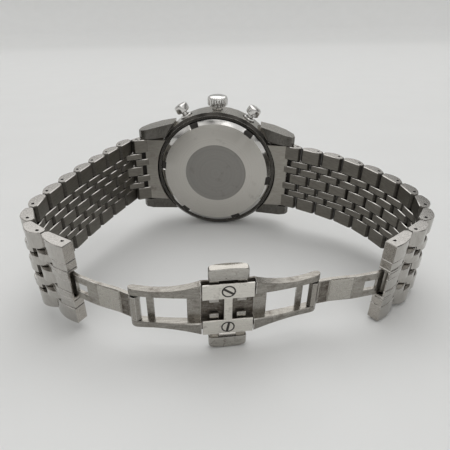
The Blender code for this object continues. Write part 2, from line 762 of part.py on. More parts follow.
place("crown_tube", tube_mesh("crown_tube", STEM_R + FIT, TUBE_R), "polished_steel")
cap_lo = tube_end + PUSHER_TRAVEL + 0.2
button_shape = [
    (PUSHER_STEM_R, skirt_r + PUSHER_TRAVEL + 0.2),
    (PUSHER_STEM_R, cap_lo),
    (PUSHER_R, cap_lo),
    (PUSHER_R, cap_lo + PUSHER_LENGTH - 0.4),
    (PUSHER_R - 0.5, cap_lo + PUSHER_LENGTH),
]
for name, angle in PUSHERS:
    turn = (0.0, math.radians(angle), 0.0)
    place(name, rod(name, button_shape, 16), "polished_steel", (0.0, 0.0, 0.0), turn)
    tube = tube_mesh(name + "_tube", PUSHER_STEM_R + FIT, PUSH_TUBE_R)
    place(name + "_tube", tube, "polished_steel", (0.0, 0.0, 0.0), turn)


# Bracelet loop at rest
def walk(bends, extra):
    """Pins and headings of one bracelet side, and where its blade pivot lies."""
    heading = 0.0
    spot = (BAR_X, BAR_Y)
    pins = [spot]
    headings = []
    for k, bend in enumerate(bends):
        heading += math.radians(bend + extra)
        headings.append(heading)
        if k < len(bends) - 1:
            spot = (spot[0] + PITCH * math.cos(heading), spot[1] - PITCH * math.sin(heading))
            pins.append(spot)
    along = BLOCK_LENGTH - BLOCK_PIVOT_BACK
    px = spot[0] + along * math.cos(heading) - BLOCK_PIVOT_IN * math.sin(heading)
    py = spot[1] - along * math.sin(heading) - BLOCK_PIVOT_IN * math.cos(heading)
    return pins, headings, (px, py)


def span_error(extra):
    """Distance between the blade pivots less the span the open clasp wants."""
    right = walk(RIGHT_BENDS, extra)[2]
    left = walk(LEFT_BENDS, extra)[2]
    return math.hypot(right[0] + left[0], right[1] - left[1]) - SPAN


low_extra = -4.0
high_extra = 4.0
for _ in range(60):
    middle = 0.5 * (low_extra + high_extra)
    if span_error(middle) > 0.0:
        low_extra = middle
    else:
        high_extra = middle
right_pins, right_headings, pivot_right = walk(RIGHT_BENDS, middle)
left_pins, left_headings, left_pivot = walk(LEFT_BENDS, middle)
pivot_left = (-left_pivot[0], left_pivot[1])

# Frame placed by the two blades
yaw = math.radians(FRAME_YAW)
along = (2.0 * HINGE_HALF * math.cos(yaw), 2.0 * HINGE_HALF * math.sin(yaw))
target = (pivot_right[0] - along[0], pivot_right[1] - along[1])
dx = target[0] - pivot_left[0]
dy = target[1] - pivot_left[1]
gap = math.hypot(dx, dy)
height = math.sqrt(max(BLADE_LENGTH ** 2 - 0.25 * gap ** 2, 0.01))
hinge_left = (
    pivot_left[0] + 0.5 * dx + height * dy / gap,
    pivot_left[1] + 0.5 * dy - height * dx / gap,
)
hinge_right = (hinge_left[0] + along[0], hinge_left[1] + along[1])
frame_at = (
    0.5 * (hinge_left[0] + hinge_right[0]) + HINGE_IN * math.sin(yaw),
    0.5 * (hinge_left[1] + hinge_right[1]) - HINGE_IN * math.cos(yaw),
    0.0,
)

end_mesh = link_mesh("end_link", True)
unit_mesh = link_mesh("link_unit", False)
head_mesh = block_mesh()
place("right_end_link", end_mesh, "satin_steel", (*right_pins[0], 0.0), (0.0, 0.0, -right_headings[0]))
for k in range(1, UNITS + 1):
    turn = (0.0, 0.0, -right_headings[k])
    place("right_link_%d" % k, unit_mesh, "satin_steel", (*right_pins[k], 0.0), turn)
turn = (0.0, 0.0, -right_headings[-1])
place("right_end_block", head_mesh, "satin_steel", (*right_pins[-1], 0.0), turn)

left_spots = [(-x, y, 0.0) for x, y in left_pins]
left_at = (*pivot_left, 0.0)
turn = (0.0, math.pi, left_headings[0])
place("left_end_link", end_mesh, "satin_steel", left_spots[0], turn, left_spots[1])
for k in range(1, UNITS + 1):
    turn = (0.0, math.pi, left_headings[k])
    place("left_link_%d" % k, unit_mesh, "satin_steel", left_spots[k], turn, left_spots[k + 1])
turn = (0.0, math.pi, left_headings[-1])
place("left_end_block", head_mesh, "satin_steel", left_spots[-1], turn, left_at)

bar_half = 0.5 * BAND_WIDTH - 0.3
bar_tip = LUG_IN + BAR_REACH
long_bar = [(BAR_TIP_R, -bar_tip), (BAR_TIP_R, -bar_half), (BAR_R, -bar_half)]
long_bar = long_bar + [(r, -z) for r, z in reversed(long_bar)]
place("right_spring_bar", rod("right_spring_bar", long_bar), "polished_steel", (BAR_X, BAR_Y, 0.0))
short_bar = [(BAR_TIP_R, -0.5 * BAND_WIDTH), (BAR_TIP_R, -bar_half), (BAR_R, -bar_half)]
short_bar = short_bar + [(r, -z) for r, z in reversed(short_bar)]
place("left_spring_bar", rod("left_spring_bar", short_bar), "polished_steel", (-BAR_X, BAR_Y, 0.0))

# Clasp
frame_turn = (0.0, 0.0, yaw)
place("clasp_frame", frame_mesh(), "polished_steel", frame_at, frame_turn)
place("clasp_cover", cover_mesh(), "polished_steel", frame_at, frame_turn)
screw = [(0.5 * SCREW_HEAD_R, -HALF_FRAME + 0.2), (0.5 * SCREW_HEAD_R, COVER_HI + 0.1)]
screw = screw + [(SCREW_HEAD_R, COVER_HI + 0.1), (SCREW_HEAD_R, COVER_HI + 0.35)]
screw_mesh = rod("clasp_screw", screw, 14)
screw_mesh.transform(Matrix.Rotation(math.radians(90.0), 4, "X"))
frame_matrix = Matrix.Translation(Vector(frame_at)) @ Matrix.Rotation(yaw, 4, "Z")
upper = frame_matrix @ Vector((0.0, 0.0, SCREW_AT))
lower = frame_matrix @ Vector((0.0, 0.0, -SCREW_AT))
place("upper_clasp_screw", screw_mesh, "polished_steel", upper, frame_turn)
place("lower_clasp_screw", screw_mesh, "polished_steel", lower, frame_turn)
push_mesh = button_mesh()
place("upper_clasp_button", push_mesh, "polished_steel", frame_at, frame_turn)
flip_mesh = push_mesh.copy()
flip_mesh.name = "lower_clasp_button"
flip_mesh.transform(Matrix.Scale(-1.0, 4, (0.0, 0.0, 1.0)))
flip_mesh.flip_normals()
place("lower_clasp_button", flip_mesh, "polished_steel", frame_at, frame_turn)

thin_mesh = blade_mesh(BLADE_LENGTH)
pin_mesh = rod("clasp_pin", [(CLASP_PIN_R, -RAIL_OUT + 0.2), (CLASP_PIN_R, RAIL_OUT - 0.2)])
for side, pivot, hinge in (("right", pivot_right, hinge_right), ("left", pivot_left, hinge_left)):
    angle = math.atan2(hinge[1] - pivot[1], hinge[0] - pivot[0])
    reach = None if side == "right" else (*hinge, 0.0)
    flip = 0.0 if side == "right" else math.pi
    place(side + "_blade", thin_mesh, "polished_steel", (*pivot, 0.0), (flip, 0.0, angle), reach)
    place(side + "_wing_pin", pin_mesh, "polished_steel", (*hinge, 0.0))
    place(side + "_block_pin", pin_mesh, "polished_steel", (*pivot, 0.0))


# Stance: case edge, lower clasp button and right end block stand on the table
bpy.context.view_layer.update()
feet = []
for obj in objects:
    if obj.name in ("mid_case", "lower_clasp_button", "right_end_block"):
        feet.append([obj.matrix_world @ v.co for v in obj.data.vertices])
normal = Vector((0.0, 0.0, 1.0))
for _ in range(20):
    low_points = [min(points, key=normal.dot) for points in feet]
    normal = (low_points[1] - low_points[0]).cross(low_points[2] - low_points[0]).normalized()
    if normal.z < 0.0:
        normal = -normal
level = normal.rotation_difference(Vector((0.0, 0.0, 1.0))).to_matrix().to_4x4()
upright = Matrix.Rotation(math.radians(PLAN_TURN), 4, "Z") @ level
stance.matrix_world = upright
bpy.context.view_layer.update()
corners = []
for obj in objects:
    corners += [obj.matrix_world @ v.co for v in obj.data.vertices]
low = Vector([min(c[k] for c in corners) for k in range(3)])
high = Vector([max(c[k] for c in corners) for k in range(3)])
shift = Vector((-0.5 * (low.x + high.x), -0.5 * (low.y + high.y), -low.z))
stance.matrix_world = Matrix.Translation(shift) @ upright
bpy.context.view_layer.update()
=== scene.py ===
"""Looks of the chronograph wristwatch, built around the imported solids."""
import json
import math

import bmesh
import bpy
import numpy as np
from mathutils import Matrix, Vector


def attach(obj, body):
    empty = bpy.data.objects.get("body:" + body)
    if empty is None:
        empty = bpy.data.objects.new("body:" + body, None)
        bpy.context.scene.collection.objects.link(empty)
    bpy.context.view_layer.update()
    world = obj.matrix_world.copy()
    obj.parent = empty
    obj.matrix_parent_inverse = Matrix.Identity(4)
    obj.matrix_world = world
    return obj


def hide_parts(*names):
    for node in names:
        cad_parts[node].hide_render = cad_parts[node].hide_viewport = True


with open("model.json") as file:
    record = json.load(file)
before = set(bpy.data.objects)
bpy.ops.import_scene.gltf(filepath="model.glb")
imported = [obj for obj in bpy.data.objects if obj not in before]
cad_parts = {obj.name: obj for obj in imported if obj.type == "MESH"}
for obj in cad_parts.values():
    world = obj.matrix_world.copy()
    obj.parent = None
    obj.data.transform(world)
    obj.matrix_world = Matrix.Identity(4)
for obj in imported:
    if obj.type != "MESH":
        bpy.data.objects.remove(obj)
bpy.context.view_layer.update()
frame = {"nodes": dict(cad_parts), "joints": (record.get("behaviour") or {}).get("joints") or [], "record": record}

MM = 0.001
JOINTS = {joint["name"]: joint for joint in frame["joints"]}


# Frames
def unit(vector):
    """The vector divided by its length."""
    vector = np.asarray(vector, float)
    return vector / np.linalg.norm(vector)


WATCH_AT = np.array(JOINTS["minute_hand_turn"]["pos_m"]) / MM
WATCH_Z = unit(JOINTS["right_end_link_hinge"]["axis"])
WATCH_Y = -unit(JOINTS["minute_hand_turn"]["axis"])
WATCH_X = np.cross(WATCH_Y, WATCH_Z)
WATCH_TURN = np.column_stack([WATCH_X, WATCH_Y, WATCH_Z])


def pin_at(joint):
    """A hinge's place in the watch frame, in millimetres, on the middle plane."""
    spot = (np.array(JOINTS[joint]["pos_m"]) / MM - WATCH_AT) @ WATCH_TURN
    return spot * np.array([1.0, 1.0, 0.0])


class Seat:
    """A piece's own frame: origin and axes in the watch frame, in millimetres."""

    def __init__(self, origin, x, y):
        self.origin = np.asarray(origin, float)
        x = unit(x)
        y = unit(y)
        self.turn = np.column_stack([x, y, np.cross(x, y)])

    def world(self, points):
        """Own millimetres to the shared frame's metres."""
        watch = self.origin + points @ self.turn.T
        return (WATCH_AT + watch @ WATCH_TURN.T) * MM

    def local(self, points):
        """The shared frame's metres to own millimetres."""
        watch = (points / MM - WATCH_AT) @ WATCH_TURN
        return (watch - self.origin) @ self.turn


WATCH = Seat((0.0, 0.0, 0.0), (1.0, 0.0, 0.0), (0.0, 1.0, 0.0))
DIAL = Seat((0.0, 0.0, 0.0), (0.0, 0.0, 1.0), (1.0, 0.0, 0.0))


def quarter(x, side):
    """The flat direction x turned a quarter, outwards for that side of the loop."""
    return np.array([-side * x[1], side * x[0], 0.0])


# Shader groups
def node(tree, kind, links=None, **settings):
    """A shader node with its settings, and values or sockets for its inputs."""
    made = tree.nodes.new(kind)
    for key, value in settings.items():
        setattr(made, key, value)
    for key, value in (links or {}).items():
        if isinstance(value, bpy.types.NodeSocket):
            tree.links.new(value, made.inputs[key])
        else:
            made.inputs[key].default_value = value
    return made


def maths(tree, operation, a, b=0.5, clamp=False):
    """One Math node, returned as its output."""
    made = node(tree, "ShaderNodeMath", {0: a, 1: b}, operation=operation, use_clamp=clamp)
    return made.outputs[0]


def vector_maths(tree, operation, *values):
    """One Vector Math node, returned as its output."""
    made = node(tree, "ShaderNodeVectorMath", dict(enumerate(values)), operation=operation)
    return made.outputs[0]


def noise(tree, vector, scale, detail, roughness=0.5):
    """A noise on a vector, returned as its output."""
    links = {"Vector": vector, "Scale": scale, "Detail": detail, "Roughness": roughness}
    return node(tree, "ShaderNodeTexNoise", links).outputs[0]


def ranged(tree, value, start=0.0, end=1.0, low=0.3, high=0.7):
    """A value between low and high carried to between start and end, and held beyond."""
    links = {0: value, 1: low, 2: high, 3: start, 4: end}
    return node(tree, "ShaderNodeMapRange", links).outputs[0]


def blended(tree, factor, a, b):
    """Colours a to b by a factor, returned as the colour output."""
    made = node(tree, "ShaderNodeMix", {0: factor, 6: a, 7: b}, data_type="RGBA")
    return made.outputs[2]


def read(tree, name):
    """The vector of a piece's own attribute."""
    return node(tree, "ShaderNodeAttribute", attribute_name=name).outputs["Vector"]


def group(name, inputs, outputs):
    """An empty shader group with named sockets; inputs are (name, start value)."""
    tree = bpy.data.node_groups.new(name, "ShaderNodeTree")
    for label, value in inputs:
        kind = "NodeSocketVector" if isinstance(value, tuple) else "NodeSocketFloat"
        socket = tree.interface.new_socket(label, in_out="INPUT", socket_type=kind)
        socket.default_value = value
    for label in outputs:
        tree.interface.new_socket(label, in_out="OUTPUT", socket_type="NodeSocketFloat")
    return tree, tree.nodes.new("NodeGroupInput"), tree.nodes.new("NodeGroupOutput")


def grain_group():
    """Brush lines and pits: noise on own millimetres stretched along one axis, and a finer noise."""
    tree, entry, leave = group("brush_grain", [("Stretch", (1.0, 8.0, 1.0))], ["Grain", "Pits"])
    seat = read(tree, "seat")
    stretched = vector_maths(tree, "MULTIPLY", seat, entry.outputs["Stretch"])
    tree.links.new(noise(tree, stretched, scale=1.0, detail=4.0), leave.inputs["Grain"])
    tree.links.new(noise(tree, seat, scale=3.4, detail=6.0, roughness=0.7), leave.inputs["Pits"])
    return tree


def edge_group():
    """Worn edges: the middle of the three distances from a block's faces, under a noisy width."""
    tree, entry, leave = group("worn_edge", [("Width", 0.25)], ["Edge", "Corner"])
    span = vector_maths(tree, "ABSOLUTE", read(tree, "span"))
    away = vector_maths(tree, "SUBTRACT", (1.0, 1.0, 1.0), span)
    gap = vector_maths(tree, "MULTIPLY", away, read(tree, "half"))
    x, y, z = node(tree, "ShaderNodeSeparateXYZ", {0: gap}).outputs
    low = maths(tree, "MINIMUM", x, y)
    high = maths(tree, "MAXIMUM", x, y)
    middle = maths(tree, "MAXIMUM", low, maths(tree, "MINIMUM", high, z))
    rough = noise(tree, read(tree, "seat"), scale=1.3, detail=3.0)
    reach = maths(tree, "MULTIPLY", entry.outputs["Width"], maths(tree, "ADD", rough, 0.3))
    for label, width in (("Edge", reach), ("Corner", maths(tree, "MULTIPLY", reach, 4.0))):
        near = maths(tree, "SUBTRACT", 1.0, maths(tree, "DIVIDE", middle, width), True)
        tree.links.new(near, leave.inputs[label])
    return tree


def grime_group():
    """Wear dirt: two noises on own millimetres cut at a level into specks and into soft stains."""
    tree, entry, leave = group("grime", [("Level", 0.6), ("Size", 0.5)], ["Specks", "Stains"])
    seat = read(tree, "seat")
    fine = noise(tree, seat, scale=2.6, detail=5.0, roughness=0.75)
    size = entry.outputs["Size"]
    wide = noise(tree, seat, scale=size, detail=6.0, roughness=0.65)
    for label, value, gain in (("Specks", fine, 9.0), ("Stains", wide, 5.0)):
        over = maths(tree, "SUBTRACT", value, entry.outputs["Level"])
        tree.links.new(maths(tree, "MULTIPLY", over, gain, True), leave.inputs[label])
    return tree


GRAIN = grain_group()
EDGE = edge_group()
GRIME = grime_group()
EDGE_WIDTH = 0.3
SOIL_DULL = 0.25
RING_SOIL, RING_DULL = 0.3, 0.3
BUMP_DEPTH = 0.0002
WORN_COLOUR = (0.78, 0.76, 0.73, 1.0)
DIRT_COLOUR = (0.09, 0.07, 0.055, 1.0)
FAINT_DIRT_COLOUR = (0.12, 0.1, 0.085, 1.0)


# Finishes; rough holds a smooth and a dull roughness
def finish(name):
    """A new material: the material itself, its tree and its shader."""
    made = bpy.data.materials.new(name)
    made.use_nodes = True
    tree = made.node_tree
    return made, tree, tree.nodes["Principled BSDF"]


def placed(tree, source, links):
    """A shader group set into a material, returned as its outputs."""
    return node(tree, "ShaderNodeGroup", links, node_tree=source).outputs


def opaque(colour):
    """A colour of three values with full cover."""
    return (*colour, 1.0)


def joined(tree, shader, colour, rough, metal, bump, height):
    """Colour, roughness, metal and bumps joined to a material's shader."""
    tree.links.new(colour, shader.inputs["Base Color"])
    tree.links.new(rough, shader.inputs["Roughness"])
    shader.inputs["Metallic"].default_value = metal
    links = {"Strength": bump, "Distance": BUMP_DEPTH, "Height": height}
    tree.links.new(node(tree, "ShaderNodeBump", links).outputs[0], shader.inputs["Normal"])


def steel(name, pale, deep, rough, stretch, bump, wear, dirt, level=0.58, size=0.35):
    """Steel: colour and roughness follow brush grain, brighter worn edges and brown dirt."""
    made, tree, shader = finish(name)
    grain = placed(tree, GRAIN, {"Stretch": stretch})
    edge = placed(tree, EDGE, {"Width": EDGE_WIDTH})
    grime = placed(tree, GRIME, {"Level": level, "Size": size})
    colour = blended(tree, ranged(tree, grain["Grain"]), opaque(deep), opaque(pale))
    colour = blended(tree, maths(tree, "MULTIPLY", edge["Edge"], wear), colour, WORN_COLOUR)
    sheltered = maths(tree, "ADD", maths(tree, "MULTIPLY", edge["Corner"], 0.5), 0.5)
    share = maths(tree, "MULTIPLY", sheltered, dirt)
    specks = maths(tree, "MULTIPLY", grime["Specks"], share)
    stains = maths(tree, "MULTIPLY", grime["Stains"], dirt)
    soil = maths(tree, "MAXIMUM", specks, stains, True)
    colour = blended(tree, soil, colour, DIRT_COLOUR)
    dull = maths(tree, "MULTIPLY", soil, SOIL_DULL)
    rough = maths(tree, "ADD", ranged(tree, grain["Pits"], *rough), dull, True)
    joined(tree, shader, colour, rough, 1.0, bump, grain["Grain"])
    return made


def ringed_steel(name, pale, deep, rough, pitch, bump):
    """Turned steel: noise on the distance from the dial axis makes fine rings, with faint stains."""
    made, tree, shader = finish(name)
    x, y, _ = node(tree, "ShaderNodeSeparateXYZ", {0: read(tree, "seat")}).outputs
    square = maths(tree, "ADD", maths(tree, "POWER", x, 2.0), maths(tree, "POWER", y, 2.0))
    steps = maths(tree, "MULTIPLY", maths(tree, "SQRT", square), pitch)
    along = node(tree, "ShaderNodeCombineXYZ", {0: steps}).outputs[0]
    rings = noise(tree, along, scale=1.0, detail=3.0)
    grime = placed(tree, GRIME, {"Level": 0.6, "Size": 0.28})
    soil = maths(tree, "MAXIMUM", grime["Specks"], grime["Stains"])
    soil = maths(tree, "MULTIPLY", soil, RING_SOIL)
    colour = blended(tree, ranged(tree, rings), opaque(deep), opaque(pale))
    colour = blended(tree, soil, colour, FAINT_DIRT_COLOUR)
    dull = maths(tree, "MULTIPLY", soil, RING_DULL)
    rough = maths(tree, "ADD", ranged(tree, rings, *rough), dull, True)
    joined(tree, shader, colour, rough, 1.0, bump, rings)
    return made


def plain(name, pale, deep, rough, metal=0.0, scale=1.5, bump=0.05):
    """A matt or painted surface: noise in millimetres varies its colour, roughness and height."""
    made, tree, shader = finish(name)
    place = node(tree, "ShaderNodeTexCoord").outputs["Object"]
    spots = noise(tree, place, scale=scale / MM, detail=5.0)
    colour = blended(tree, ranged(tree, spots), opaque(deep), opaque(pale))
    joined(tree, shader, colour, ranged(tree, spots, *rough), metal, bump, spots)
    return made


def clear_glass(name):
    """Crystal: clear, with a faint variation of polish."""
    made, tree, shader = finish(name)
    place = node(tree, "ShaderNodeTexCoord").outputs["Object"]
    haze = noise(tree, place, scale=300.0, detail=3.0)
    tree.links.new(ranged(tree, haze, 0.01, 0.05, low=0.3, high=0.8), shader.inputs["Roughness"])
    shader.inputs["Base Color"].default_value = (0.96, 0.98, 0.98, 1.0)
    shader.inputs["Transmission Weight"].default_value = 1.0
    shader.inputs["IOR"].default_value = 1.45
    return made


LINK_SATIN = steel(
    "link_satin", (0.228, 0.215, 0.19), (0.162, 0.151, 0.133), (0.3, 0.42),
    stretch=(0.5, 9.0, 5.0), bump=0.08, wear=0.7, dirt=0.55,
)
END_STEEL = steel(
    "end_piece_satin", (0.42, 0.4, 0.36), (0.33, 0.31, 0.28), (0.28, 0.4),
    stretch=(0.6, 6.0, 5.0), bump=0.06, wear=0.2, dirt=0.5,
)
# Dark steel on link ends, end walls and pins: painted shade between neighbouring links
LINK_SIDE_SHADE = steel(
    "link_side", (0.12, 0.112, 0.1), (0.07, 0.065, 0.058), (0.35, 0.5),
    stretch=(2.0, 2.0, 2.0), bump=0.05, wear=0.15, dirt=0.6,
)
LINK_POLISH = steel(
    "link_polish", (0.5, 0.482, 0.455), (0.41, 0.395, 0.37), (0.1, 0.2),
    stretch=(2.0, 2.0, 0.6), bump=0.02, wear=0.5, dirt=0.4,
)
BLOCK_STEEL = steel(
    "block_steel", (0.48, 0.455, 0.42), (0.38, 0.356, 0.326), (0.2, 0.34),
    stretch=(0.6, 6.0, 4.0), bump=0.06, wear=0.7, dirt=0.5,
)
# Brighter steel for rounded edges: partly wear, partly painted highlight
WORN_AND_HIGHLIT_EDGE = steel(
    "worn_and_highlit_edge_steel", (0.74, 0.72, 0.69), (0.62, 0.6, 0.57), (0.12, 0.24),
    stretch=(3.0, 3.0, 3.0), bump=0.03, wear=0.0, dirt=0.3,
)
# Near-black steel: painted shade on the back face round the case back
CASE_SHADE_BLACK = steel(
    "case_painted_shade", (0.085, 0.08, 0.073), (0.068, 0.064, 0.058), (0.16, 0.22),
    stretch=(0.8, 0.8, 0.8), bump=0.004, wear=0.0, dirt=0.15,
)
# Darker, slightly rougher steel: painted shade on the lugs' backs and other back-facing case faces
LUG_BACK_SHADE = steel(
    "lug_back_painted_shade", (0.17, 0.162, 0.148), (0.12, 0.114, 0.104), (0.16, 0.28),
    stretch=(0.6, 5.0, 0.8), bump=0.03, wear=0.2, dirt=0.35,
)
CASE_STEEL = steel(
    "case_polish", (0.44, 0.42, 0.385), (0.36, 0.345, 0.315), (0.12, 0.22),
    stretch=(0.8, 6.0, 0.8), bump=0.03, wear=0.3, dirt=0.35,
)
CLASP_STEEL = steel(
    "clasp_satin", (0.52, 0.5, 0.46), (0.42, 0.4, 0.366), (0.2, 0.34),
    stretch=(0.4, 7.0, 7.0), bump=0.06, wear=0.5, dirt=0.5,
)
BLADE_STEEL = steel(
    "blade_satin", (0.42, 0.4, 0.366), (0.31, 0.294, 0.266), (0.22, 0.38),
    stretch=(0.5, 7.0, 6.0), bump=0.07, wear=0.5, dirt=0.75, level=0.54,
)
RAIL_STEEL = steel(
    "rail_polish", (0.37, 0.353, 0.323), (0.25, 0.237, 0.213), (0.16, 0.3),
    stretch=(0.35, 3.0, 3.0), bump=0.04, wear=0.75, dirt=0.75, level=0.53,
)
COVER_STEEL = steel(
    "cover_satin", (0.79, 0.764, 0.71), (0.69, 0.667, 0.618), (0.34, 0.48),
    stretch=(0.4, 7.0, 7.0), bump=0.05, wear=0.4, dirt=0.6, level=0.57,
)
BUTTON_STEEL = steel(
    "button_polish", (0.5, 0.482, 0.448), (0.41, 0.394, 0.364), (0.16, 0.3),
    stretch=(0.6, 3.0, 3.0), bump=0.03, wear=0.0, dirt=0.85, level=0.56, size=0.8,
)
# A much darker steel with heavy grime, for the clasp's base and one blade panel
DARKENED_STEEL = steel(
    "darkened_steel", (0.3, 0.28, 0.25), (0.14, 0.13, 0.115), (0.3, 0.5),
    stretch=(0.8, 3.0, 3.0), bump=0.1, wear=0.3, dirt=0.9, level=0.46, size=0.6,
)
BRIGHT_STEEL = steel(
    "bright_steel", (0.72, 0.71, 0.69), (0.62, 0.61, 0.59), (0.07, 0.15),
    stretch=(2.0, 2.0, 2.0), bump=0.02, wear=0.2, dirt=0.25,
)
BACK_RING = ringed_steel(
    "back_ring_satin", (0.66, 0.64, 0.6), (0.53, 0.51, 0.475), (0.26, 0.38), pitch=5.5, bump=0.1,
)
BACK_CENTRE = ringed_steel(
    "back_centre_matt", (0.37, 0.36, 0.34), (0.31, 0.3, 0.285), (0.46, 0.6), pitch=1.2, bump=0.06,
)
# Near-black: painted shade in pin holes, case back notches, the end links' windows and round and under the clasp
# screws; also the real black of the bezel ticks
SHADE_AND_PRINT_BLACK = plain("painted_shade_and_print_black", (0.05, 0.045, 0.04), (0.02, 0.018, 0.016), (0.6, 0.8))
DIAL_BLACK = plain(
    "dial_black", (0.016, 0.016, 0.018), (0.009, 0.009, 0.01), (0.3, 0.4), scale=2.0, bump=0.003,
)
DIAL_PAINT = plain("dial_paint", (0.82, 0.81, 0.77), (0.72, 0.71, 0.67), (0.4, 0.55))
BRASS = plain("movement_brass", (0.72, 0.56, 0.27), (0.58, 0.43, 0.19), (0.28, 0.42), metal=1.0)
RUBBER = plain("seal_rubber", (0.03, 0.03, 0.03), (0.015, 0.015, 0.015), (0.6, 0.8))
HOLDER = plain("holder_plastic", (0.24, 0.24, 0.25), (0.18, 0.18, 0.19), (0.5, 0.65))
PIN_STEEL = plain(
    "pin_steel", (0.6, 0.58, 0.55), (0.48, 0.46, 0.43), (0.16, 0.3), metal=1.0, scale=2.0,
)
GLASS = clear_glass("crystal_glass")


# Piece making
SHARP_ANGLE = 28.0
FLAT_ANGLE = 1.5
MERGE_DISTANCE = 2e-6
LEAST_HALF = 0.01
EDGELESS_HALF = 90.0


def own_places(points, edged=True):
    """For each point its own millimetres, its place between the faces and the half sizes."""
    low, high = points.min(0), points.max(0)
    half = np.maximum(0.5 * (high - low), LEAST_HALF) if edged else np.full(3, EDGELESS_HALF)
    span = (points - 0.5 * (low + high)) / half
    return {"seat": points, "span": span, "half": np.broadcast_to(half, points.shape)}


def keep_places(mesh, places):
    """Own places written to a mesh as point attributes, for the finishes to read."""
    for label, rows in places.items():
        layer = mesh.attributes.new(label, "FLOAT_VECTOR", "POINT")
        layer.data.foreach_set("vector", rows.astype(np.float32).reshape(-1))


def read_rows(items, label):
    """One vector of every vertex or face of a mesh, as rows."""
    values = np.zeros(len(items) * 3, np.float32)
    items.foreach_get(label, values)
    return values.reshape(-1, 3).astype(float)


def smoothed(mesh, angle=SHARP_ANGLE):
    """Smooth shading with edges sharper than an angle kept."""
    mesh.shade_smooth()
    mesh.set_sharp_from_angle(angle=math.radians(angle))


def shown(name, data):
    """A new object of a mesh, lamp or camera, linked to the scene."""
    made = bpy.data.objects.new(name, data)
    bpy.context.scene.collection.objects.link(made)
    return made


def settle(name, mesh, finishes, body, nodes):
    """Object of a finished mesh with its materials, body and the nodes it stands for."""
    for finished in finishes:
        mesh.materials.append(finished)
    piece = shown(name, mesh)
    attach(piece, body)
    if nodes:
        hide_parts(*nodes)
    return piece


class Piece:
    """Gathers closed shells on one CAD body and makes them one object."""

    def __init__(self, name, body, nodes, slot, finishes):
        self.name = name
        self.body = body
        self.nodes = nodes
        self.slot = slot
        self.finishes = finishes
        self.count = 0
        self.world = []
        self.faces = []
        self.tags = []
        self.places = []

    def loft(self, rings, seat, tags=0, caps=None, closed=False, edged=True):
        """Closed rings of points joined in order, with flat caps unless the rows close too."""
        rows, across = rings.shape[:2]
        index = self.count + np.arange(rows * across).reshape(rows, across)
        first = index if closed else index[:-1]
        second = np.roll(index, -1, axis=0) if closed else index[1:]
        quads = np.stack([first, np.roll(first, -1, 1), np.roll(second, -1, 1), second], -1)
        marks = np.broadcast_to(np.asarray(tags), quads.shape[:2])
        self.faces += quads.reshape(-1, 4).tolist()
        self.tags += marks.reshape(-1).tolist()
        if not closed:
            self.faces += [index[0][::-1].tolist(), index[-1].tolist()]
            self.tags += list(caps or (tags, tags))
        points = rings.reshape(-1, 3)
        self.world.append(seat.world(points))
        self.places.append(own_places(points, edged))
        self.count += len(points)

    def make(self, angle=SHARP_ANGLE):
        """The mesh with its attributes, outward faces and smooth shading, riding on its body."""
        mesh = bpy.data.meshes.new(self.name)
        mesh.from_pydata(np.concatenate(self.world), [], self.faces)
        mesh.polygons.foreach_set("material_index", np.array(self.tags, np.int32))
        labels = self.places[0]
        keep_places(mesh, {k: np.concatenate([own[k] for own in self.places]) for k in labels})
        work = bmesh.new()
        work.from_mesh(mesh)
        bmesh.ops.recalc_face_normals(work, faces=work.faces)
        work.to_mesh(mesh)
        work.free()
        smoothed(mesh, angle)
        return settle(self.name, mesh, self.finishes, self.body, self.nodes)


def full_turn(count):
    """Angles spaced evenly round a full turn."""
    return np.linspace(0.0, 2.0 * np.pi, count, endpoint=False)


def turned(profile, around, wave=None):
    """Rings about the own z axis: (radius, height) rows carried round, cut by a wave of the angle."""
    turn = full_turn(around)
    profile = np.asarray(profile, float)
    radius = np.repeat(profile[:, :1], around, 1)
    if wave is not None:
        radius = radius - profile[:, 2:3] * wave(turn)
    height = np.repeat(profile[:, 1:2], around, 1)
    return np.stack([radius * np.cos(turn), radius * np.sin(turn), height], -1)


def spun(rings, degrees):
    """Rings turned about the own z axis."""
    cos, sin = math.cos(math.radians(degrees)), math.sin(math.radians(degrees))
    return rings @ np.array([[cos, -sin, 0.0], [sin, cos, 0.0], [0.0, 0.0, 1.0]]).T


# A rectangle with cut corners: the corner that each point belongs to, and its step along a side
CUT_CORNERS = np.array(
    [[-1, -1], [-1, -1], [1, -1], [1, -1], [1, 1], [1, 1], [-1, 1], [-1, 1]], float,
)
CUT_STEPS = np.array(
    [[0, 1], [1, 0], [-1, 0], [0, 1], [0, -1], [-1, 0], [1, 0], [0, -1]], float,
)


def bar(x, y, z, ease=0.1):
    """A box from low to high on each axis: a cut rectangle carried along z, eased at both ends."""
    low, high = np.transpose([x, y])
    half = 0.5 * (high - low)
    full = CUT_CORNERS * half + CUT_STEPS * ease
    inner = CUT_CORNERS * (half - ease) + CUT_STEPS * ease * 0.5
    outline = np.stack([inner, full, full, inner]) + 0.5 * (low + high)
    heights = np.array([z[0], z[0] + ease, z[1] - ease, z[1]])
    return np.concatenate([outline, np.repeat(heights[:, None, None], 8, 1)], -1)


def body_holding(node_name):
    """The CAD body that a node rides on."""
    bodies = frame["record"]["behaviour"]["bodies"]
    return next(body for body, nodes in bodies.items() if node_name in nodes)


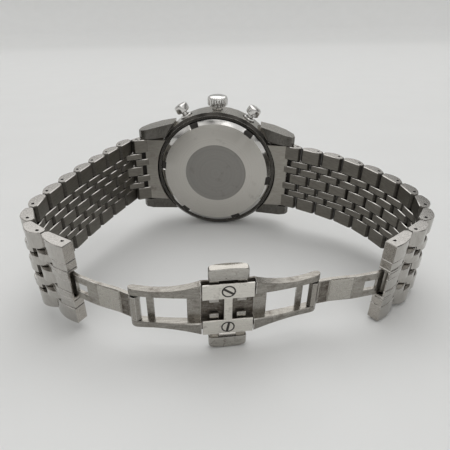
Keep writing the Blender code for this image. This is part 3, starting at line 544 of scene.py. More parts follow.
def dressed(node_name, seat, finishes, ease, tag=None):
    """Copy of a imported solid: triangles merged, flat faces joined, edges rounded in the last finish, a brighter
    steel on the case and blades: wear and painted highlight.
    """
    mesh = frame["nodes"][node_name].data.copy()
    mesh.materials.clear()
    work = bmesh.new()
    work.from_mesh(mesh)
    bmesh.ops.remove_doubles(work, verts=work.verts, dist=MERGE_DISTANCE)
    flat = math.radians(FLAT_ANGLE)
    bmesh.ops.dissolve_limit(work, angle_limit=flat, verts=work.verts, edges=work.edges)
    work.to_mesh(mesh)
    work.free()
    keep_places(mesh, own_places(seat.local(read_rows(mesh.vertices, "co"))))
    marks = np.zeros(len(mesh.polygons), np.int32)
    if tag is not None:
        facing = read_rows(mesh.polygons, "normal") @ WATCH_TURN @ seat.turn
        marks = tag(seat.local(read_rows(mesh.polygons, "center")), facing).astype(np.int32)
    mesh.polygons.foreach_set("material_index", marks)
    smoothed(mesh)
    body = body_holding(node_name)
    piece = settle(node_name + "_body", mesh, finishes, body, [node_name])
    rounding = piece.modifiers.new("rounding", "BEVEL")
    rounding.width = ease * MM
    rounding.segments = 2
    rounding.limit_method = "ANGLE"
    rounding.angle_limit = math.radians(SHARP_ANGLE)
    rounding.harden_normals = True
    # The rounded edges take the last finish: on the case and blades a brighter steel, partly wear, partly painted
    # highlight
    rounding.material = len(finishes) - 1
    return piece


# Bracelet: each link has x along the loop, y outwards and z across the band
# Link marks: SIDE takes the dark steel, painted shade between links; GAP the near-black, painted shade in pin
# holes and the end links' windows
SATIN, POLISH, GAP, SIDE, EXTRA = range(5)
LINK_FINISHES = [LINK_SATIN, LINK_POLISH, SHADE_AND_PRINT_BLACK, LINK_SIDE_SHADE]
BAND_HALF = 11.0
COLUMN_WIDTHS = np.array([4.6, 2.2, 2.5, 3.4, 2.5, 2.2, 4.6])
COLUMN_EDGES = np.concatenate([[0.0], np.cumsum(COLUMN_WIDTHS)]) - BAND_HALF
LAST_COLUMN = len(COLUMN_WIDTHS) - 1
END_INSET = 0.07
LINK_INSET = 0.07
HALF_PITCH = 3.5
LINK_HALF = 1.6
LINK_EASE = 0.16
ARCH_DROP = 1.45
CORNER_R = 1.87
CORNER_FROM, CORNER_TO = 31.2, 58.8
HOLE_R = 0.45
HOLE_DEPTH = 0.35
HOLE_ENDS = {0: -1.0, LAST_COLUMN: 1.0}
LINK_HOLE = np.array([HALF_PITCH, -0.1])
PIN_ROD = [(0.42, -10.4), (0.42, 10.4)]
END_BRIDGE = ((-1.4, 1.9), (0.1, 0.6), (-10.8, 10.8))


def pin_corner(way):
    """Inner corner of a link: four points on a circle about its pin, on one side of the pin."""
    turn = np.radians(np.linspace(CORNER_FROM, CORNER_TO, 4))
    turn = turn if way < 0 else turn[::-1]
    return CORNER_R * np.stack([way * np.cos(turn), -np.sin(turn)], -1)


def link_outline(shift):
    """Side view of one link: flat inner face, corners about both pins, parabolic outer face."""
    middle = 0.5 * HALF_PITCH
    reach = middle + LINK_HALF
    x = np.linspace(middle + reach, middle - reach, 13)
    arch = np.stack([x, LINK_HALF - ARCH_DROP * ((x - middle) / reach) ** 2], -1)
    far = pin_corner(1.0) + np.array([HALF_PITCH, 0.0])
    outline = np.concatenate([pin_corner(-1.0), far, arch]) + np.array([shift, 0.0])
    marks = np.full(len(outline), POLISH)
    marks[:len(outline) - len(arch)] = SIDE
    marks[3] = SATIN
    marks[-1] = SIDE
    return outline, marks


def drawn_in(outline, ease):
    """The outline moved towards its middle by ease on both axes."""
    low, high = outline.min(0), outline.max(0)
    middle = 0.5 * (low + high)
    half = 0.5 * (high - low)
    return middle + (outline - middle) * (1.0 - ease / half)


def with_height(outline, z):
    """A flat outline lifted to one height."""
    return np.concatenate([outline, np.full((len(outline), 1), z)], -1)


def column_sides(k, inset):
    """Where a column of links starts and ends across the band."""
    low = COLUMN_EDGES[k] + (inset if k else END_INSET)
    high = COLUMN_EDGES[k + 1] - (inset if k < LAST_COLUMN else END_INSET)
    return low, high


def column(piece, seat, outline, marks, sides, hole, spot):
    """One link: its outline carried across the band, eased at both ends, a pin hole at an outer end."""
    low, high = sides
    small = drawn_in(outline, LINK_EASE)
    rings = [with_height(small, low), with_height(outline, low + LINK_EASE)]
    rings += [with_height(outline, high - LINK_EASE), with_height(small, high)]
    eased = np.where(marks == SIDE, SIDE, POLISH)
    rows = [eased, marks, eased]
    if hole:
        turn = np.arctan2(outline[:, 1] - spot[1], outline[:, 0] - spot[0])
        mouth = spot + HOLE_R * np.stack([np.cos(turn), np.sin(turn)], -1)
        face = BAND_HALF - END_INSET
        pit = [with_height(mouth, hole * face), with_height(mouth, hole * (face - HOLE_DEPTH))]
        rings = rings + pit if hole > 0 else pit[::-1] + rings
        # The pin hole's wall and floor take the near-black: painted shade in the hole
        ends = [np.full_like(marks, POLISH), np.full_like(marks, GAP)]
        rows = rows + ends if hole > 0 else ends[::-1] + rows
    caps = (GAP if hole < 0 else POLISH, GAP if hole > 0 else POLISH)
    piece.loft(np.stack(rings), seat, np.stack(rows), caps)


def across_band(columns, levels, z, side):
    """A shape carried across the band: each point's x at every z, and its fixed level."""
    x = np.stack(columns, 1)
    y = np.broadcast_to(np.array(levels), x.shape)
    return np.stack([side * x, y, np.repeat(z[:, None], len(levels), 1)], -1)


END_PIECE_R = 20.0
END_PIECE_LIP = 0.15
END_PIECE_FAR = 23.7
END_PIECE_HALF = 10.85
END_PIECE_LEVELS = (-5.1, -5.0, -4.45, -4.4, -4.4, -5.1)
FITTING_R = 20.68
FITTING_HALF = 10.95
FITTING_SLOPE = (21.3, 22.9, 24.2, 24.3, 24.3)
FITTING_LEVELS = (-1.35, 1.2, 1.2, 0.62, -0.5, -0.75, -1.35)


def end_piece(side):
    """Plate from the end link to the case: its near edge lies on a circle round the case."""
    z = np.linspace(-END_PIECE_HALF, END_PIECE_HALF, 45)
    near = np.sqrt(END_PIECE_R ** 2 - z ** 2)
    lip = near + END_PIECE_LIP
    far = np.full_like(z, END_PIECE_FAR)
    return across_band([lip, near, near, lip, far, far], END_PIECE_LEVELS, z, side)


def end_fitting(side):
    """Fill between a pair of lugs: its near face on the case's circle, its top sloped like the lugs."""
    z = np.linspace(-FITTING_HALF, FITTING_HALF, 45)
    near = np.sqrt(FITTING_R ** 2 - z ** 2)
    slope = [np.full_like(z, x) for x in FITTING_SLOPE]
    return across_band([near, near] + slope, FITTING_LEVELS, z, side)


def link(title, seat, side):
    """One bracelet unit: four outer links on its own pins, three inner links to the next pin."""
    piece = Piece(title + "_row", title, [title], "satin_steel", LINK_FINISHES + [END_STEEL])
    for k in range(len(COLUMN_WIDTHS)):
        outline, marks = link_outline(HALF_PITCH * (k % 2))
        sides = column_sides(k, LINK_INSET)
        column(piece, seat, outline, marks, sides, HOLE_ENDS.get(k, 0.0), LINK_HOLE)
    for pin in range(3):
        rod = turned(PIN_ROD, around=12) + np.array([HALF_PITCH * pin, 0.0, 0.0])
        piece.loft(rod, seat, SIDE, edged=False)
    if title.endswith("end_link"):
        # A near-black bar across the end link's windows by its pin: painted shade
        piece.loft(bar(*END_BRIDGE, ease=0.05), seat, GAP)
        piece.loft(end_piece(side), WATCH, EXTRA, edged=False)
    return piece.make()


for side, word in ((1.0, "right"), (-1.0, "left")):
    fitting = Piece(word + "_end_fitting", "case", [], "satin_steel", [END_STEEL])
    fitting.loft(end_fitting(side), WATCH, edged=False)
    fitting.make()

UNITS = ["end_link"] + ["link_%d" % k for k in range(1, 10)]
right_pins = [pin_at("right_%s_hinge" % unit_name) for unit_name in UNITS + ["end_block"]]
left_pins = [right_pins[0] * np.array([-1.0, 1.0, 1.0])]
left_pins += [pin_at("left_%s_hinge" % unit_name) for unit_name in UNITS]
for side, word, pins in ((1.0, "right", right_pins), (-1.0, "left", left_pins)):
    for k, unit_name in enumerate(UNITS):
        heading = unit(pins[k + 1] - pins[k])
        link(word + "_" + unit_name, Seat(pins[k], heading, quarter(heading, side)), side)


# End blocks, with x from the last pin to the flat end and y outwards
BLOCK_PIVOT = np.array([4.55, -0.6])
BLOCK_HOLE = np.array([4.55, -0.5])
BLOCK_INSET = 0.02
BLOCK_EASE = 0.15
BLOCK_END = 6.38
BLOCK_CREST = 3.6
BLOCK_FALL = 0.22
FALL_REACH = 2.8
SHORT_TOP = 1.48
SHORT_FOOT = np.array([0.7, 0.5, 0.25, 0.0])
SLOT_HALF = 3.5
SLOT_FROM = 2.7
SKIN_LOW = 0.95
RELIEF_FROM = 1.9
RELIEF_LOW = -1.0


def block_seat(pin, pivot, side):
    """Frame of an end block: its heading from the last pin and the blade's pivot inside it."""
    across = complex(*(pivot - pin)[:2]) / complex(BLOCK_PIVOT[0], side * BLOCK_PIVOT[1])
    heading = unit([across.real, across.imag, 0.0])
    return Seat(pin, heading, quarter(heading, side))


def block_outline(tongue, slot):
    """Side view of one block column: round at its pin or short, arched, cut away for the blade."""
    left = pin_corner(-1.0)
    start = -LINK_HALF
    low = [[BLOCK_END - BLOCK_EASE, -LINK_HALF], [BLOCK_END, BLOCK_EASE - LINK_HALF]]
    if slot:
        low = [[SLOT_FROM, RELIEF_LOW], [SLOT_FROM, SKIN_LOW], [BLOCK_END, SKIN_LOW]]
        if tongue:
            low = [[RELIEF_FROM, -LINK_HALF], [RELIEF_FROM, RELIEF_LOW]] + low
    if not tongue:
        start = RELIEF_FROM
        foot = RELIEF_LOW if slot else -LINK_HALF
        left = np.stack([start + BLOCK_EASE * (SHORT_FOOT == 0.0), foot + SHORT_FOOT], -1)
    x = np.linspace(BLOCK_END, start, 15)
    rise = ARCH_DROP * ((x - BLOCK_CREST) / (BLOCK_CREST + LINK_HALF)) ** 2
    fall = BLOCK_FALL * ((x - BLOCK_CREST) / FALL_REACH) ** 2
    arch = (LINK_HALF if tongue else SHORT_TOP) - np.where(x < BLOCK_CREST, rise, fall)
    outline = np.concatenate([left, low, np.stack([x, arch], -1)])
    marks = np.full(len(outline), POLISH)
    marks[:3] = SIDE
    marks[3] = SATIN
    marks[len(left):len(left) + len(low)] = EXTRA
    marks[-1] = SIDE
    return outline, marks


def block_stretches(k):
    """Stretches of one block column across the band, each with whether the slot cuts it."""
    low, high = column_sides(k, BLOCK_INSET)
    bounds = np.unique(np.clip([low, -SLOT_HALF, SLOT_HALF, high], low, high))
    return [(sides, abs(sum(sides)) < 2.0 * SLOT_HALF) for sides in zip(bounds[:-1], bounds[1:])]


def end_block(title, seat):
    """End block: seven columns like the links, joined at a flat end, slotted for the blade."""
    piece = Piece(title + "_row", title, [title], "satin_steel", LINK_FINISHES + [BLOCK_STEEL])
    for k in range(len(COLUMN_WIDTHS)):
        for sides, slot in block_stretches(k):
            outline, marks = block_outline(k % 2 == 0, slot)
            column(piece, seat, outline, marks, sides, HOLE_ENDS.get(k, 0.0), BLOCK_HOLE)
    piece.loft(turned(PIN_ROD, around=12), seat, SIDE, edged=False)
    return piece.make()


right_pivot = pin_at("right_blade_fold")
left_pivot = pin_at("left_end_block_hinge")
end_block("right_end_block", block_seat(right_pins[-1], right_pivot, 1.0))
end_block("left_end_block", block_seat(left_pins[-1], left_pivot, -1.0))


# Case
# Case marks: polished, painted shade round the case back, painted shade on the lugs' backs
POLISHED, SEAT_SHADE, LUG_SHADE = range(3)
CASE_FINISHES = [CASE_STEEL, CASE_SHADE_BLACK, LUG_BACK_SHADE, WORN_AND_HIGHLIT_EDGE]
BACK_SEAT_R = 20.8
BACK_SEAT_LEVEL = -4.6


def case_faces(middle, facing):
    """Painted shade by facing: the back face round the case back is near-black, the other back faces such as the
    lugs' backs a darker, slightly rougher steel, and the rest polished.
    """
    reach = np.hypot(middle[:, 0], middle[:, 2])
    inside = (reach < BACK_SEAT_R) & (middle[:, 1] > BACK_SEAT_LEVEL)
    lug = np.where(facing[:, 1] < -0.25, LUG_SHADE, POLISHED)
    return np.where((facing[:, 1] < -0.5) & inside, SEAT_SHADE, lug)


dressed("mid_case", WATCH, CASE_FINISHES, ease=0.22, tag=case_faces)

# Case back from its centre out: rows of radius, depth behind the watch frame's origin and notch depth
BACK_PROFILE = np.array([
    (0.4, 5.3, 0.0), (10.0, 5.3, 0.0), (10.2, 5.4, 0.0), (17.0, 5.4, 0.0), (17.3, 5.36, 0.62),
    (18.2, 4.75, 0.1), (18.55, 4.45, 0.0), (18.58, 3.6, 0.0), (17.1, 3.0, 0.0), (17.1, 2.0, 0.0),
    (12.0, 2.0, 0.0),
])
RING, CENTRE, RIM, NOTCH = range(4)
BACK_FINISHES = [BACK_RING, BACK_CENTRE, BRIGHT_STEEL, SHADE_AND_PRINT_BLACK]
BACK_ROWS = np.array([CENTRE, CENTRE, RING, RING] + [RIM] * 6)
BACK_NOTCH_ROWS = slice(3, 6)
BACK_AROUND = 360
NOTCH_STEP = np.pi / 3.0
NOTCH_AT = 0.42
NOTCH_HALF = 0.085


def case_back():
    """Case back: shallow dish, flat ring, bevel with six notches in near-black as painted shade, rim and hidden
    spigot.
    """
    turn = full_turn(BACK_AROUND)
    away = np.abs((turn + NOTCH_AT + 0.5 * NOTCH_STEP) % NOTCH_STEP - 0.5 * NOTCH_STEP)
    notched = away < NOTCH_HALF
    rings = turned(BACK_PROFILE, BACK_AROUND)
    rings[..., 2] = BACK_PROFILE[:, 2:] * notched - BACK_PROFILE[:, 1:2]
    marks = np.repeat(BACK_ROWS[:, None], BACK_AROUND, 1)
    # Notch faces take the near-black: painted shade in the notches
    marks[BACK_NOTCH_ROWS, notched] = NOTCH
    piece = Piece("case_back_turned", "case", ["case_back"], "back_steel", BACK_FINISHES)
    piece.loft(rings, DIAL, marks, (CENTRE, RIM), edged=False)
    piece.make(angle=24.0)


BEZEL_PROFILE = [
    (16.32, 2.7), (16.32, 6.1), (16.6, 6.35), (17.4, 6.35), (18.9, 5.5), (19.5, 4.9),
    (19.72, 4.5), (19.72, 4.3), (17.5, 4.25), (17.5, 2.7),
]
BEZEL_FLAT_R = 17.4
BEZEL_SLOPE = 0.567
TICK_START = 17.45
TICK_LIFT = 0.015


def bezel():
    """Bezel: a turned ring with sixty dark ticks on its slope."""
    piece = Piece("bezel_turned", "case", ["bezel"], "polished_steel", [CASE_STEEL, SHADE_AND_PRINT_BLACK])
    piece.loft(turned(BEZEL_PROFILE, around=180), DIAL, closed=True, edged=False)
    for k in range(60):
        tick = bar((TICK_START, 18.3 if k % 5 else 18.6), (-0.07, 0.07), (5.0, 6.36), ease=0.02)
        fall = BEZEL_SLOPE * np.clip(tick[..., 0] - BEZEL_FLAT_R, 0.0, None)
        tick[..., 2] += np.where(tick[..., 2] > 6.0, TICK_LIFT - fall, 0.0)
        piece.loft(spun(tick, 6.0 * k), DIAL, 1, edged=False)
    piece.make()


CRYSTAL_PROFILE = [
    (0.3, 4.82), (15.1, 4.82), (15.17, 4.9), (15.17, 6.2), (14.8, 6.42), (10.0, 6.53), (5.0, 6.58),
    (0.3, 6.6),
]


def crystal():
    """Crystal: a low dome."""
    piece = Piece("crystal_dome", "case", ["crystal"], "crystal_glass", [GLASS])
    piece.loft(turned(CRYSTAL_PROFILE, around=120), DIAL, edged=False)
    piece.make()


case_back()
bezel()
crystal()


# Dial furniture, with x to 3 o'clock and y to 12 o'clock
TRACK_R = 16.15
TRACK_LEVELS = (2.25, 2.33)
SUB_SPOTS = ((0.0, 8.2, 0.0), (0.0, -8.2, 0.0), (-8.2, 0.0, 0.0))
SUB_RING = [(3.55, 2.25), (3.55, 2.4), (3.85, 2.44), (4.0, 2.36), (4.0, 2.25)]


def dial_furniture():
    """Raised batons with painted tops, a painted minute track and three ringed sub-dials."""
    batons = Piece("hour_batons", "case", [], "hand_steel", [BRIGHT_STEEL, DIAL_PAINT])
    track = Piece("minute_track", "case", [], "dial_black", [DIAL_PAINT])
    for k in range(60):
        if k % 5 == 0:
            wide = 0.55 if k % 15 == 0 else 0.42
            narrow = 0.4 * wide
            baton = bar((12.8, 15.1), (-wide, wide), (2.28, 2.58), ease=0.08)
            paint = bar((13.1, 14.9), (-narrow, narrow), (2.5, 2.6), ease=0.02)
            batons.loft(spun(baton, 6.0 * k), DIAL)
            batons.loft(spun(paint, 6.0 * k), DIAL, 1)
        length = 0.75 if k % 5 else 0.95
        tick = bar((TRACK_R - length, TRACK_R), (-0.06, 0.06), TRACK_LEVELS, ease=0.01)
        track.loft(spun(tick, 6.0 * k), DIAL)
    for spot in SUB_SPOTS:
        batons.loft(turned(SUB_RING, around=72) + np.array(spot), DIAL, closed=True, edged=False)
        for k in range(12):
            tick = bar((2.7, 3.3), (-0.05, 0.05), TRACK_LEVELS, ease=0.01)
            track.loft(spun(tick, 30.0 * k) + np.array(spot), DIAL)
    batons.make()
    track.make()


dial_furniture()


# Crown and pushers, with z along their own axis; a crown row also has its flute depth
CROWN_PROFILE = [
    (1.5, 21.82, 0.0), (2.75, 21.82, 0.0), (3.2, 22.15, 0.3), (3.22, 22.5, 0.34),
    (3.22, 24.05, 0.34), (3.15, 24.4, 0.24), (2.75, 24.75, 0.05), (2.1, 24.93, 0.0), (0.3, 25.0, 0.0),
]
FLUTES = 24.0
HEAD_PROFILE = [
    (0.9, 18.55), (0.95, 22.32), (2.0, 22.32), (2.24, 22.55), (2.25, 24.2), (2.12, 24.55),
    (1.7, 24.83), (1.0, 24.95), (0.3, 24.98),
]
COLLAR_PROFILE = [
    (1.32, 17.95), (1.85, 17.95), (1.87, 20.9), (1.72, 21.18), (1.4, 21.18), (1.32, 21.05),
]


def flute_wave(turn):
    """Round-bottomed flutes: the root of the positive half of a cosine."""
    return np.sqrt(np.clip(np.cos(FLUTES * turn), 0.0, 1.0))


def crown():
    """Fluted crown on the watch frame's own z axis."""
    piece = Piece("crown_fluted", "crown", ["crown"], "polished_steel", [BRIGHT_STEEL])
    piece.loft(turned(CROWN_PROFILE, around=288, wave=flute_wave), WATCH, edged=False)
    piece.make(angle=40.0)


def pusher(title, lean):
    """Pusher head and its collar on an axis that leans from the crown's."""
    across = (math.cos(math.radians(lean)), 0.0, -math.sin(math.radians(lean)))
    seat = Seat((0.0, 0.0, 0.0), across, (0.0, 1.0, 0.0))
    head = Piece(title + "_head", title, [title], "polished_steel", [BRIGHT_STEEL])
    head.loft(turned(HEAD_PROFILE, around=72), seat, edged=False)
    head.make()
    tube = title + "_tube"
    collar = Piece(title + "_collar", "case", [tube], "polished_steel", [BRIGHT_STEEL])
    collar.loft(turned(COLLAR_PROFILE, around=60), seat, closed=True, edged=False)
    collar.make()


crown()
pusher("start_pusher", 30.0)
pusher("reset_pusher", -30.0)


# Clasp, with x along its frame, y outwards and z across the band
right_wing = pin_at("right_wing_hinge")
left_wing = pin_at("left_wing_hinge")
clasp_x = unit(right_wing - left_wing)
clasp_y = quarter(clasp_x, 1.0)
HINGE_IN = 2.353
CLASP = Seat(0.5 * (right_wing + left_wing) - HINGE_IN * clasp_y, clasp_x, clasp_y)
BOW_R = 75.0
HINGE_HALF = 19.4
FRAME_HALF = 1.1
RAIL_START = 5.72
RAIL_INNER = 3.47
RAIL_OUTER = 5.0
RAIL_EASE = 0.22
WAIST_AT = 16.0
WAIST_WIDER, WAIST_REACH = 1.83, 10.3
FLARE, FLARE_REACH = 0.2, 3.4
TIP_LENGTH, TIP_R = 1.22, 1.28
INNER_BAR, OUTER_BAR = (5.6, 8.6), (15.5, 17.1)
BAR_ACROSS = (-3.6, 3.6)
SHEET = (-1.08, -0.6)
BASE_SHEET = (-1.08, -0.62)


def mirrored(stretch, side):
    """A stretch on one side of the middle, from low to high."""
    return sorted(side * end for end in stretch)


def bow(u):
    """How far the bowed frame falls back towards the wrist at u: the depth of an arc."""
    return BOW_R - np.sqrt(BOW_R ** 2 - u ** 2)


def bowed(u, v_middle, v_half, z_middle, z_half, ease):
    """A cut rectangle carried along the bow: middles and half sizes at each u."""
    v = v_middle + CUT_CORNERS[:, 0] * v_half[:, None] + CUT_STEPS[:, 0] * ease
    z = z_middle + CUT_CORNERS[:, 1] * z_half[:, None] + CUT_STEPS[:, 1] * ease
    along = np.repeat(u[:, None], 8, 1)
    return np.stack([along, bow(along) - v, z], -1)


def rail(side, face):
    """One rail: it widens to the clasp's middle, and rounds off past its hinge as a circle does."""
    tip = HINGE_HALF + TIP_LENGTH * np.sin(np.linspace(0.15, 1.5, 8))
    u = np.concatenate([np.linspace(RAIL_START, HINGE_HALF, 28), tip])
    wider = WAIST_WIDER * np.clip((WAIST_AT - u) / WAIST_REACH, 0.0, 1.0) ** 2
    out = RAIL_OUTER + wider + FLARE * np.clip((u - WAIST_AT) / FLARE_REACH, 0.0, 1.0)
    past = np.clip(u - HINGE_HALF, 0.0, None) / TIP_R
    tall = FRAME_HALF * np.sqrt(np.clip(1.0 - past ** 2, 0.02, 1.0))
    middle = 0.5 * (RAIL_INNER + out)[:, None]
    rings = bowed(side * u, 0.0, tall, middle, 0.5 * (out - RAIL_INNER), RAIL_EASE)
    return rings * np.array([1.0, 1.0, face])


def plate(u, v, z, ease=0.08, pieces=9):
    """A thin plate from low to high on each axis, following the bow and eased at both ends."""
    along = np.concatenate([[u[0]], np.linspace(u[0] + ease, u[1] - ease, pieces), [u[1]]])
    shrink = np.concatenate([[ease], np.zeros(pieces), [ease]])
    v_half = 0.5 * (v[1] - v[0]) - shrink
    z_half = 0.5 * (z[1] - z[0]) - shrink
    return bowed(along, 0.5 * sum(v), v_half, 0.5 * sum(z), z_half, ease)


def clasp_frame():
    """Clasp frame: two rails a side, two cross bars a side and a thin base in a much darker steel."""
    finishes = [RAIL_STEEL, BLADE_STEEL, DARKENED_STEEL]
    piece = Piece("clasp_frame_bowed", "clasp_frame", ["clasp_frame"], "satin_steel", finishes)
    for side in (-1.0, 1.0):
        for face in (-1.0, 1.0):
            piece.loft(rail(side, face), CLASP)
        piece.loft(plate(mirrored(INNER_BAR, side), SHEET, BAR_ACROSS), CLASP, 1)
        piece.loft(plate(mirrored(OUTER_BAR, side), SHEET, BAR_ACROSS), CLASP)
    # The base takes the much darker steel: painted shade in the frame's windows, with heavy grime too
    piece.loft(plate((-5.9, 5.9), BASE_SHEET, (-6.8, 6.8)), CLASP, 2)
    piece.make()


COVER_FINISHES = [COVER_STEEL, SHADE_AND_PRINT_BLACK]
COVER_HIGH = 0.92
COVER_LEVELS = (-COVER_HIGH, -0.52)
CHEEK = (2.95, 6.85)
SCREW_AT = 4.95
SCREW_SUNK = 0.02
RIM_SUNK = 0.005
SCREW_RIM = [(1.15, 0.0), (1.5, 0.0), (1.5, 0.02), (1.15, 0.02)]
SCREW_BASE = [(1.16, -1.2), (1.16, 0.03), (0.2, 0.03)]
SCREW_R = 1.17


def on_cover(rings, face, depth):
    """Rings about a screw's own axis set into the clasp's cover, on one side of its middle."""
    y = depth - COVER_HIGH - rings[..., 2]
    return np.stack([rings[..., 0], y, face * SCREW_AT + rings[..., 1]], -1)


def clasp_cover():
    """Cover: two cheeks joined by a narrow bridge, with a near-black ring round each screw as painted shade in the
    gap round its head.
    """
    node_names = ["clasp_cover"]
    piece = Piece("clasp_cover_plate", "clasp_frame", node_names, "satin_steel", COVER_FINISHES)
    for face in (-1.0, 1.0):
        piece.loft(bar((-5.5, 5.5), COVER_LEVELS, mirrored(CHEEK, face)), CLASP)
        # A near-black ring round the screw: painted shade in the gap round its head
        ring = on_cover(turned(SCREW_RIM, around=40), face, RIM_SUNK)
        piece.loft(ring, CLASP, 1, closed=True, edged=False)
    piece.loft(bar((-0.9, 0.9), COVER_LEVELS, (-3.1, 3.1)), CLASP)
    piece.make()


def screw(title, face, lean):
    """Slotted head: a low near-black disc, painted shade in the slot, with two raised half discs either side of
    the slot.
    """
    piece = Piece(title + "_slotted", "clasp_frame", [title], "polished_steel", COVER_FINISHES)
    # The low disc takes the near-black: painted shade in the slot
    base = on_cover(spun(turned(SCREW_BASE, around=40), lean), face, SCREW_SUNK)
    piece.loft(base, CLASP, 1, edged=False)
    sweep = np.radians(np.linspace(14.0, 166.0, 18))
    for half in (-1.0, 1.0):
        edge = SCREW_R * np.stack([np.cos(sweep), half * np.sin(sweep)], -1)
        small = edge * 0.94 + np.array([0.0, half * 0.02])
        rings = [with_height(edge, -0.3), with_height(edge, 0.05), with_height(small, 0.09)]
        piece.loft(on_cover(spun(np.stack(rings), lean), face, SCREW_SUNK), CLASP, edged=False)
    piece.make()


# Button rows: share of the full outline and distance from the clasp's middle
BUTTON_ROWS = np.array([
    (0.93, 7.87), (1.0, 8.05), (1.0, 10.25), (0.985, 10.55), (0.93, 10.8), (0.86, 10.9),
])
BUTTON_LONG, BUTTON_TALL = 4.22, 1.08
BUTTON_TOP = 10.97
CLAW = (1.9, 4.0)
CLAW_LEVELS = (-0.2, 0.3)
CLAW_ROOT = 8.2


def claw_tip(title):
    """How near the middle the button's claws reach, from its own solid."""
    points = CLASP.local(read_rows(frame["nodes"][title].data.vertices, "co"))
    return np.abs(points[:, 2]).min()


def clasp_button(title, face):
    """Push button: a rounded oblong carried outwards to a convex end, with two claws."""
    piece = Piece(title + "_cap", title, [title], "polished_steel", [BUTTON_STEEL, CLASP_STEEL])
    turn = full_turn(48)
    flat = np.sign(np.cos(turn)) * np.abs(np.cos(turn)) ** 0.22
    high = np.sign(np.sin(turn)) * np.abs(np.sin(turn)) ** 0.45
    share, out = BUTTON_ROWS[:, :1], BUTTON_ROWS[:, 1:]
    u = BUTTON_LONG * (1.0 - 0.45 * (1.0 - share)) * flat
    v = BUTTON_TALL * share * high
    dome = 0.5 * (u / 4.25) ** 2 * np.clip((out - 8.1) / 3.0, 0.0, 1.0)
    z = np.minimum(out + 0.1 - dome, BUTTON_TOP)
    piece.loft(np.stack([u, -v, face * z], -1), CLASP, 0, (0, 1), edged=False)
    ends = mirrored((claw_tip(title), CLAW_ROOT), face)
    for side in (-1.0, 1.0):
        piece.loft(bar(mirrored(CLAW, side), CLAW_LEVELS, ends, ease=0.08), CLASP)
    piece.make(angle=35.0)


clasp_frame()
clasp_cover()
screw("upper_clasp_screw", 1.0, -35.0)
screw("lower_clasp_screw", -1.0, 80.0)
clasp_button("upper_clasp_button", 1.0)
clasp_button("lower_clasp_button", -1.0)


# Blades, with x from the end block to the wing pin and y outwards
CRANK_AT = (8.2, 13.6, 17.1)
CRANK_TOP = (1.05, 0.4, 0.4)
PANEL_EASE = 0.1


def blade_panel(start, end, half, lift):
    """A raised panel on a blade's outer face, following its crank."""
    x = np.array([start, start + 0.12, 0.5 * (start + end), end - 0.12, end])
    draw = PANEL_EASE * np.array([1.0, 0.0, 0.0, 0.0, 1.0])
    face = np.interp(x, CRANK_AT, CRANK_TOP)
    top = face + lift - draw
    low = face - 0.3
    wide = half - draw
    shoulder = top - PANEL_EASE
    y = np.stack([low, shoulder, top, top, shoulder, low], 1)
    inner = wide - PANEL_EASE
    z = np.stack([-wide, -wide, -inner, inner, wide, wide], 1)
    return np.stack([np.repeat(x[:, None], 6, 1), y, z], -1)


def blade(title, pivot, wing, side):
    """One blade dressed from its solid, with a satin panel and a much darker one."""
    heading = unit(wing - pivot)
    seat = Seat(pivot, heading, quarter(heading, side))
    dressed(title, seat, [BLADE_STEEL, WORN_AND_HIGHLIT_EDGE], ease=0.12)
    panels = Piece(title + "_panels", title, [], "satin_steel", [CLASP_STEEL, DARKENED_STEEL])
    panels.loft(blade_panel(8.9, 14.3, 2.95, 0.16), seat)
    panels.loft(blade_panel(14.6, 16.9, 3.1, 0.06), seat, 1)
    panels.make()


blade("right_blade", right_pivot, right_wing, 1.0)
blade("left_blade", left_pivot, left_wing, -1.0)

# Carried-over solids
HANDS = (
    "hour_hand", "minute_hand", "chrono_seconds_hand", "running_seconds_hand",
    "minute_counter_hand", "hour_counter_hand",
)
PINS = (
    "crown_tube", "winding_stem", "right_spring_bar", "left_spring_bar",
    "right_wing_pin", "left_wing_pin", "right_block_pin", "left_block_pin",
)
CARRIED = {
    "dial": DIAL_BLACK, "movement": BRASS, "movement_holder": HOLDER,
    "crystal_gasket": RUBBER, "case_back_gasket": RUBBER, **dict.fromkeys(PINS, PIN_STEEL),
}
for title in HANDS:
    dressed(title, DIAL, [BRIGHT_STEEL, BRIGHT_STEEL], ease=0.05)
for title, finished in CARRIED.items():
    solid = frame["nodes"][title]
    solid.data.materials.clear()
    solid.data.materials.append(finished)


# Table, light and camera
TABLE_AROUND = 96
TABLE_REACH = np.array([0.02, 0.1, 0.3, 0.8, 1.6, 2.2, 2.4, 2.6, 2.8, 2.95, 3.05, 3.1])
SWEEP_FROM, SWEEP_STEEP = 2.2, 2.6
TABLE_DROP = 0.00005
TABLE_DEEP, TABLE_PALE = (0.73, 0.735, 0.73), (0.77, 0.775, 0.77)
SKY_COLOUR = (1.0, 0.99, 0.97, 1.0)
LAMPS = (("ceiling", (0.02, 0.38, 0.9), 1.3, 75.0), ("front_fill", (0.3, -0.8, 0.5), 0.25, 40.0))
CAMERA_AT = (14.5, -140.8, 64.2)
CAMERA_FORWARD = (-0.0686, 0.8464, -0.5281)
CAMERA_UP = (-0.06, 0.5249, 0.849)
CAMERA_LENS = 35.2
CAMERA_SENSOR = 36.0


def table_finish():
    """Pale paint: a wide noise varies its colour and roughness a little."""
    made, tree, shader = finish("table_white")
    place = node(tree, "ShaderNodeTexCoord").outputs["Object"]
    spots = noise(tree, place, scale=25.0, detail=4.0)
    colour = blended(tree, spots, opaque(TABLE_DEEP), opaque(TABLE_PALE))
    tree.links.new(colour, shader.inputs["Base Color"])
    rough = ranged(tree, spots, 0.5, 0.6, low=0.0, high=1.0)
    tree.links.new(rough, shader.inputs["Roughness"])
    shader.inputs["Specular IOR Level"].default_value = 0.2
    return made


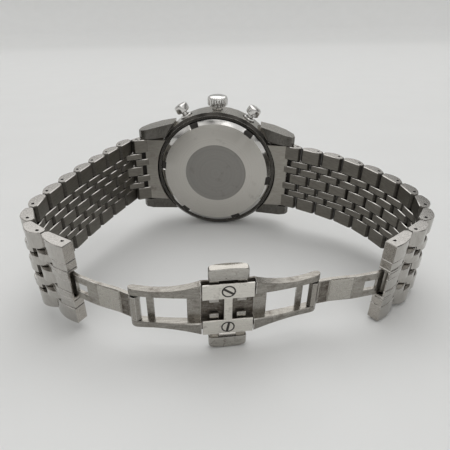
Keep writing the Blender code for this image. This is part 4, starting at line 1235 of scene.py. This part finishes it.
def table():
    """A round table top that sweeps up with the square of the reach past its flat, higher behind."""
    turn = full_turn(TABLE_AROUND)
    steep = 1.6 * np.clip(TABLE_REACH / SWEEP_STEEP, 1.0, None)
    rise = np.clip(TABLE_REACH - SWEEP_FROM, 0.0, None) ** 2 * steep
    behind = 0.55 + 0.45 * np.clip(np.sin(turn) + 0.2, 0.0, 1.0)
    flat = [np.outer(TABLE_REACH, np.cos(turn)), np.outer(TABLE_REACH, np.sin(turn))]
    rows = np.stack(flat + [np.outer(rise, behind) - TABLE_DROP], -1)
    index = np.arange(rows.shape[0] * TABLE_AROUND).reshape(-1, TABLE_AROUND)
    inner, outer = index[:-1], index[1:]
    quads = np.stack([inner, outer, np.roll(outer, -1, 1), np.roll(inner, -1, 1)], -1)
    mesh = bpy.data.meshes.new("table_top")
    faces = quads.reshape(-1, 4).tolist() + [index[0].tolist()]
    mesh.from_pydata(rows.reshape(-1, 3), [], faces)
    mesh.shade_smooth()
    mesh.materials.append(table_finish())
    shown("table_top", mesh)


def studio():
    """A sky that brightens with height, broken into light and dark patches, and two wide lamps."""
    world = bpy.data.worlds.new("studio")
    bpy.context.scene.world = world
    world.use_nodes = True
    tree = world.node_tree
    way = node(tree, "ShaderNodeTexCoord").outputs["Generated"]
    height = node(tree, "ShaderNodeSeparateXYZ", {0: way}).outputs[2]
    ramp = ranged(tree, height, 0.12, 0.6, low=0.05, high=0.8)
    patches = noise(tree, way, scale=2.6, detail=1.0)
    patches = ranged(tree, patches, 0.25, 1.75, low=0.4, high=0.6)
    sky = tree.nodes["Background"].inputs
    tree.links.new(maths(tree, "MULTIPLY", ramp, patches), sky["Strength"])
    sky["Color"].default_value = SKY_COLOUR
    for title, towards, power, spread in LAMPS:
        lamp = bpy.data.lights.new(title, "SUN")
        lamp.energy = power
        lamp.angle = math.radians(spread)
        holder = shown(title, lamp)
        holder.matrix_world = (-Vector(towards)).to_track_quat("-Z", "Y").to_matrix().to_4x4()


def camera():
    """The photograph's view: place, forward and up are given in the watch frame."""
    forward = unit(WATCH_TURN @ unit(CAMERA_FORWARD))
    right = unit(np.cross(forward, WATCH_TURN @ unit(CAMERA_UP)))
    turn = np.eye(4)
    turn[:3, :3] = np.column_stack([right, np.cross(right, forward), -forward])
    turn[:3, 3] = WATCH.world(np.array([CAMERA_AT]))[0]
    data = bpy.data.cameras.new("photo_view")
    data.lens = CAMERA_LENS
    data.sensor_width = CAMERA_SENSOR
    data.clip_start = 0.005
    eye = shown("photo_view", data)
    eye.matrix_world = Matrix(turn.tolist())
    bpy.context.scene.camera = eye


table()
studio()
camera()
bpy.context.scene.view_settings.view_transform = "Standard"
bpy.context.view_layer.update()
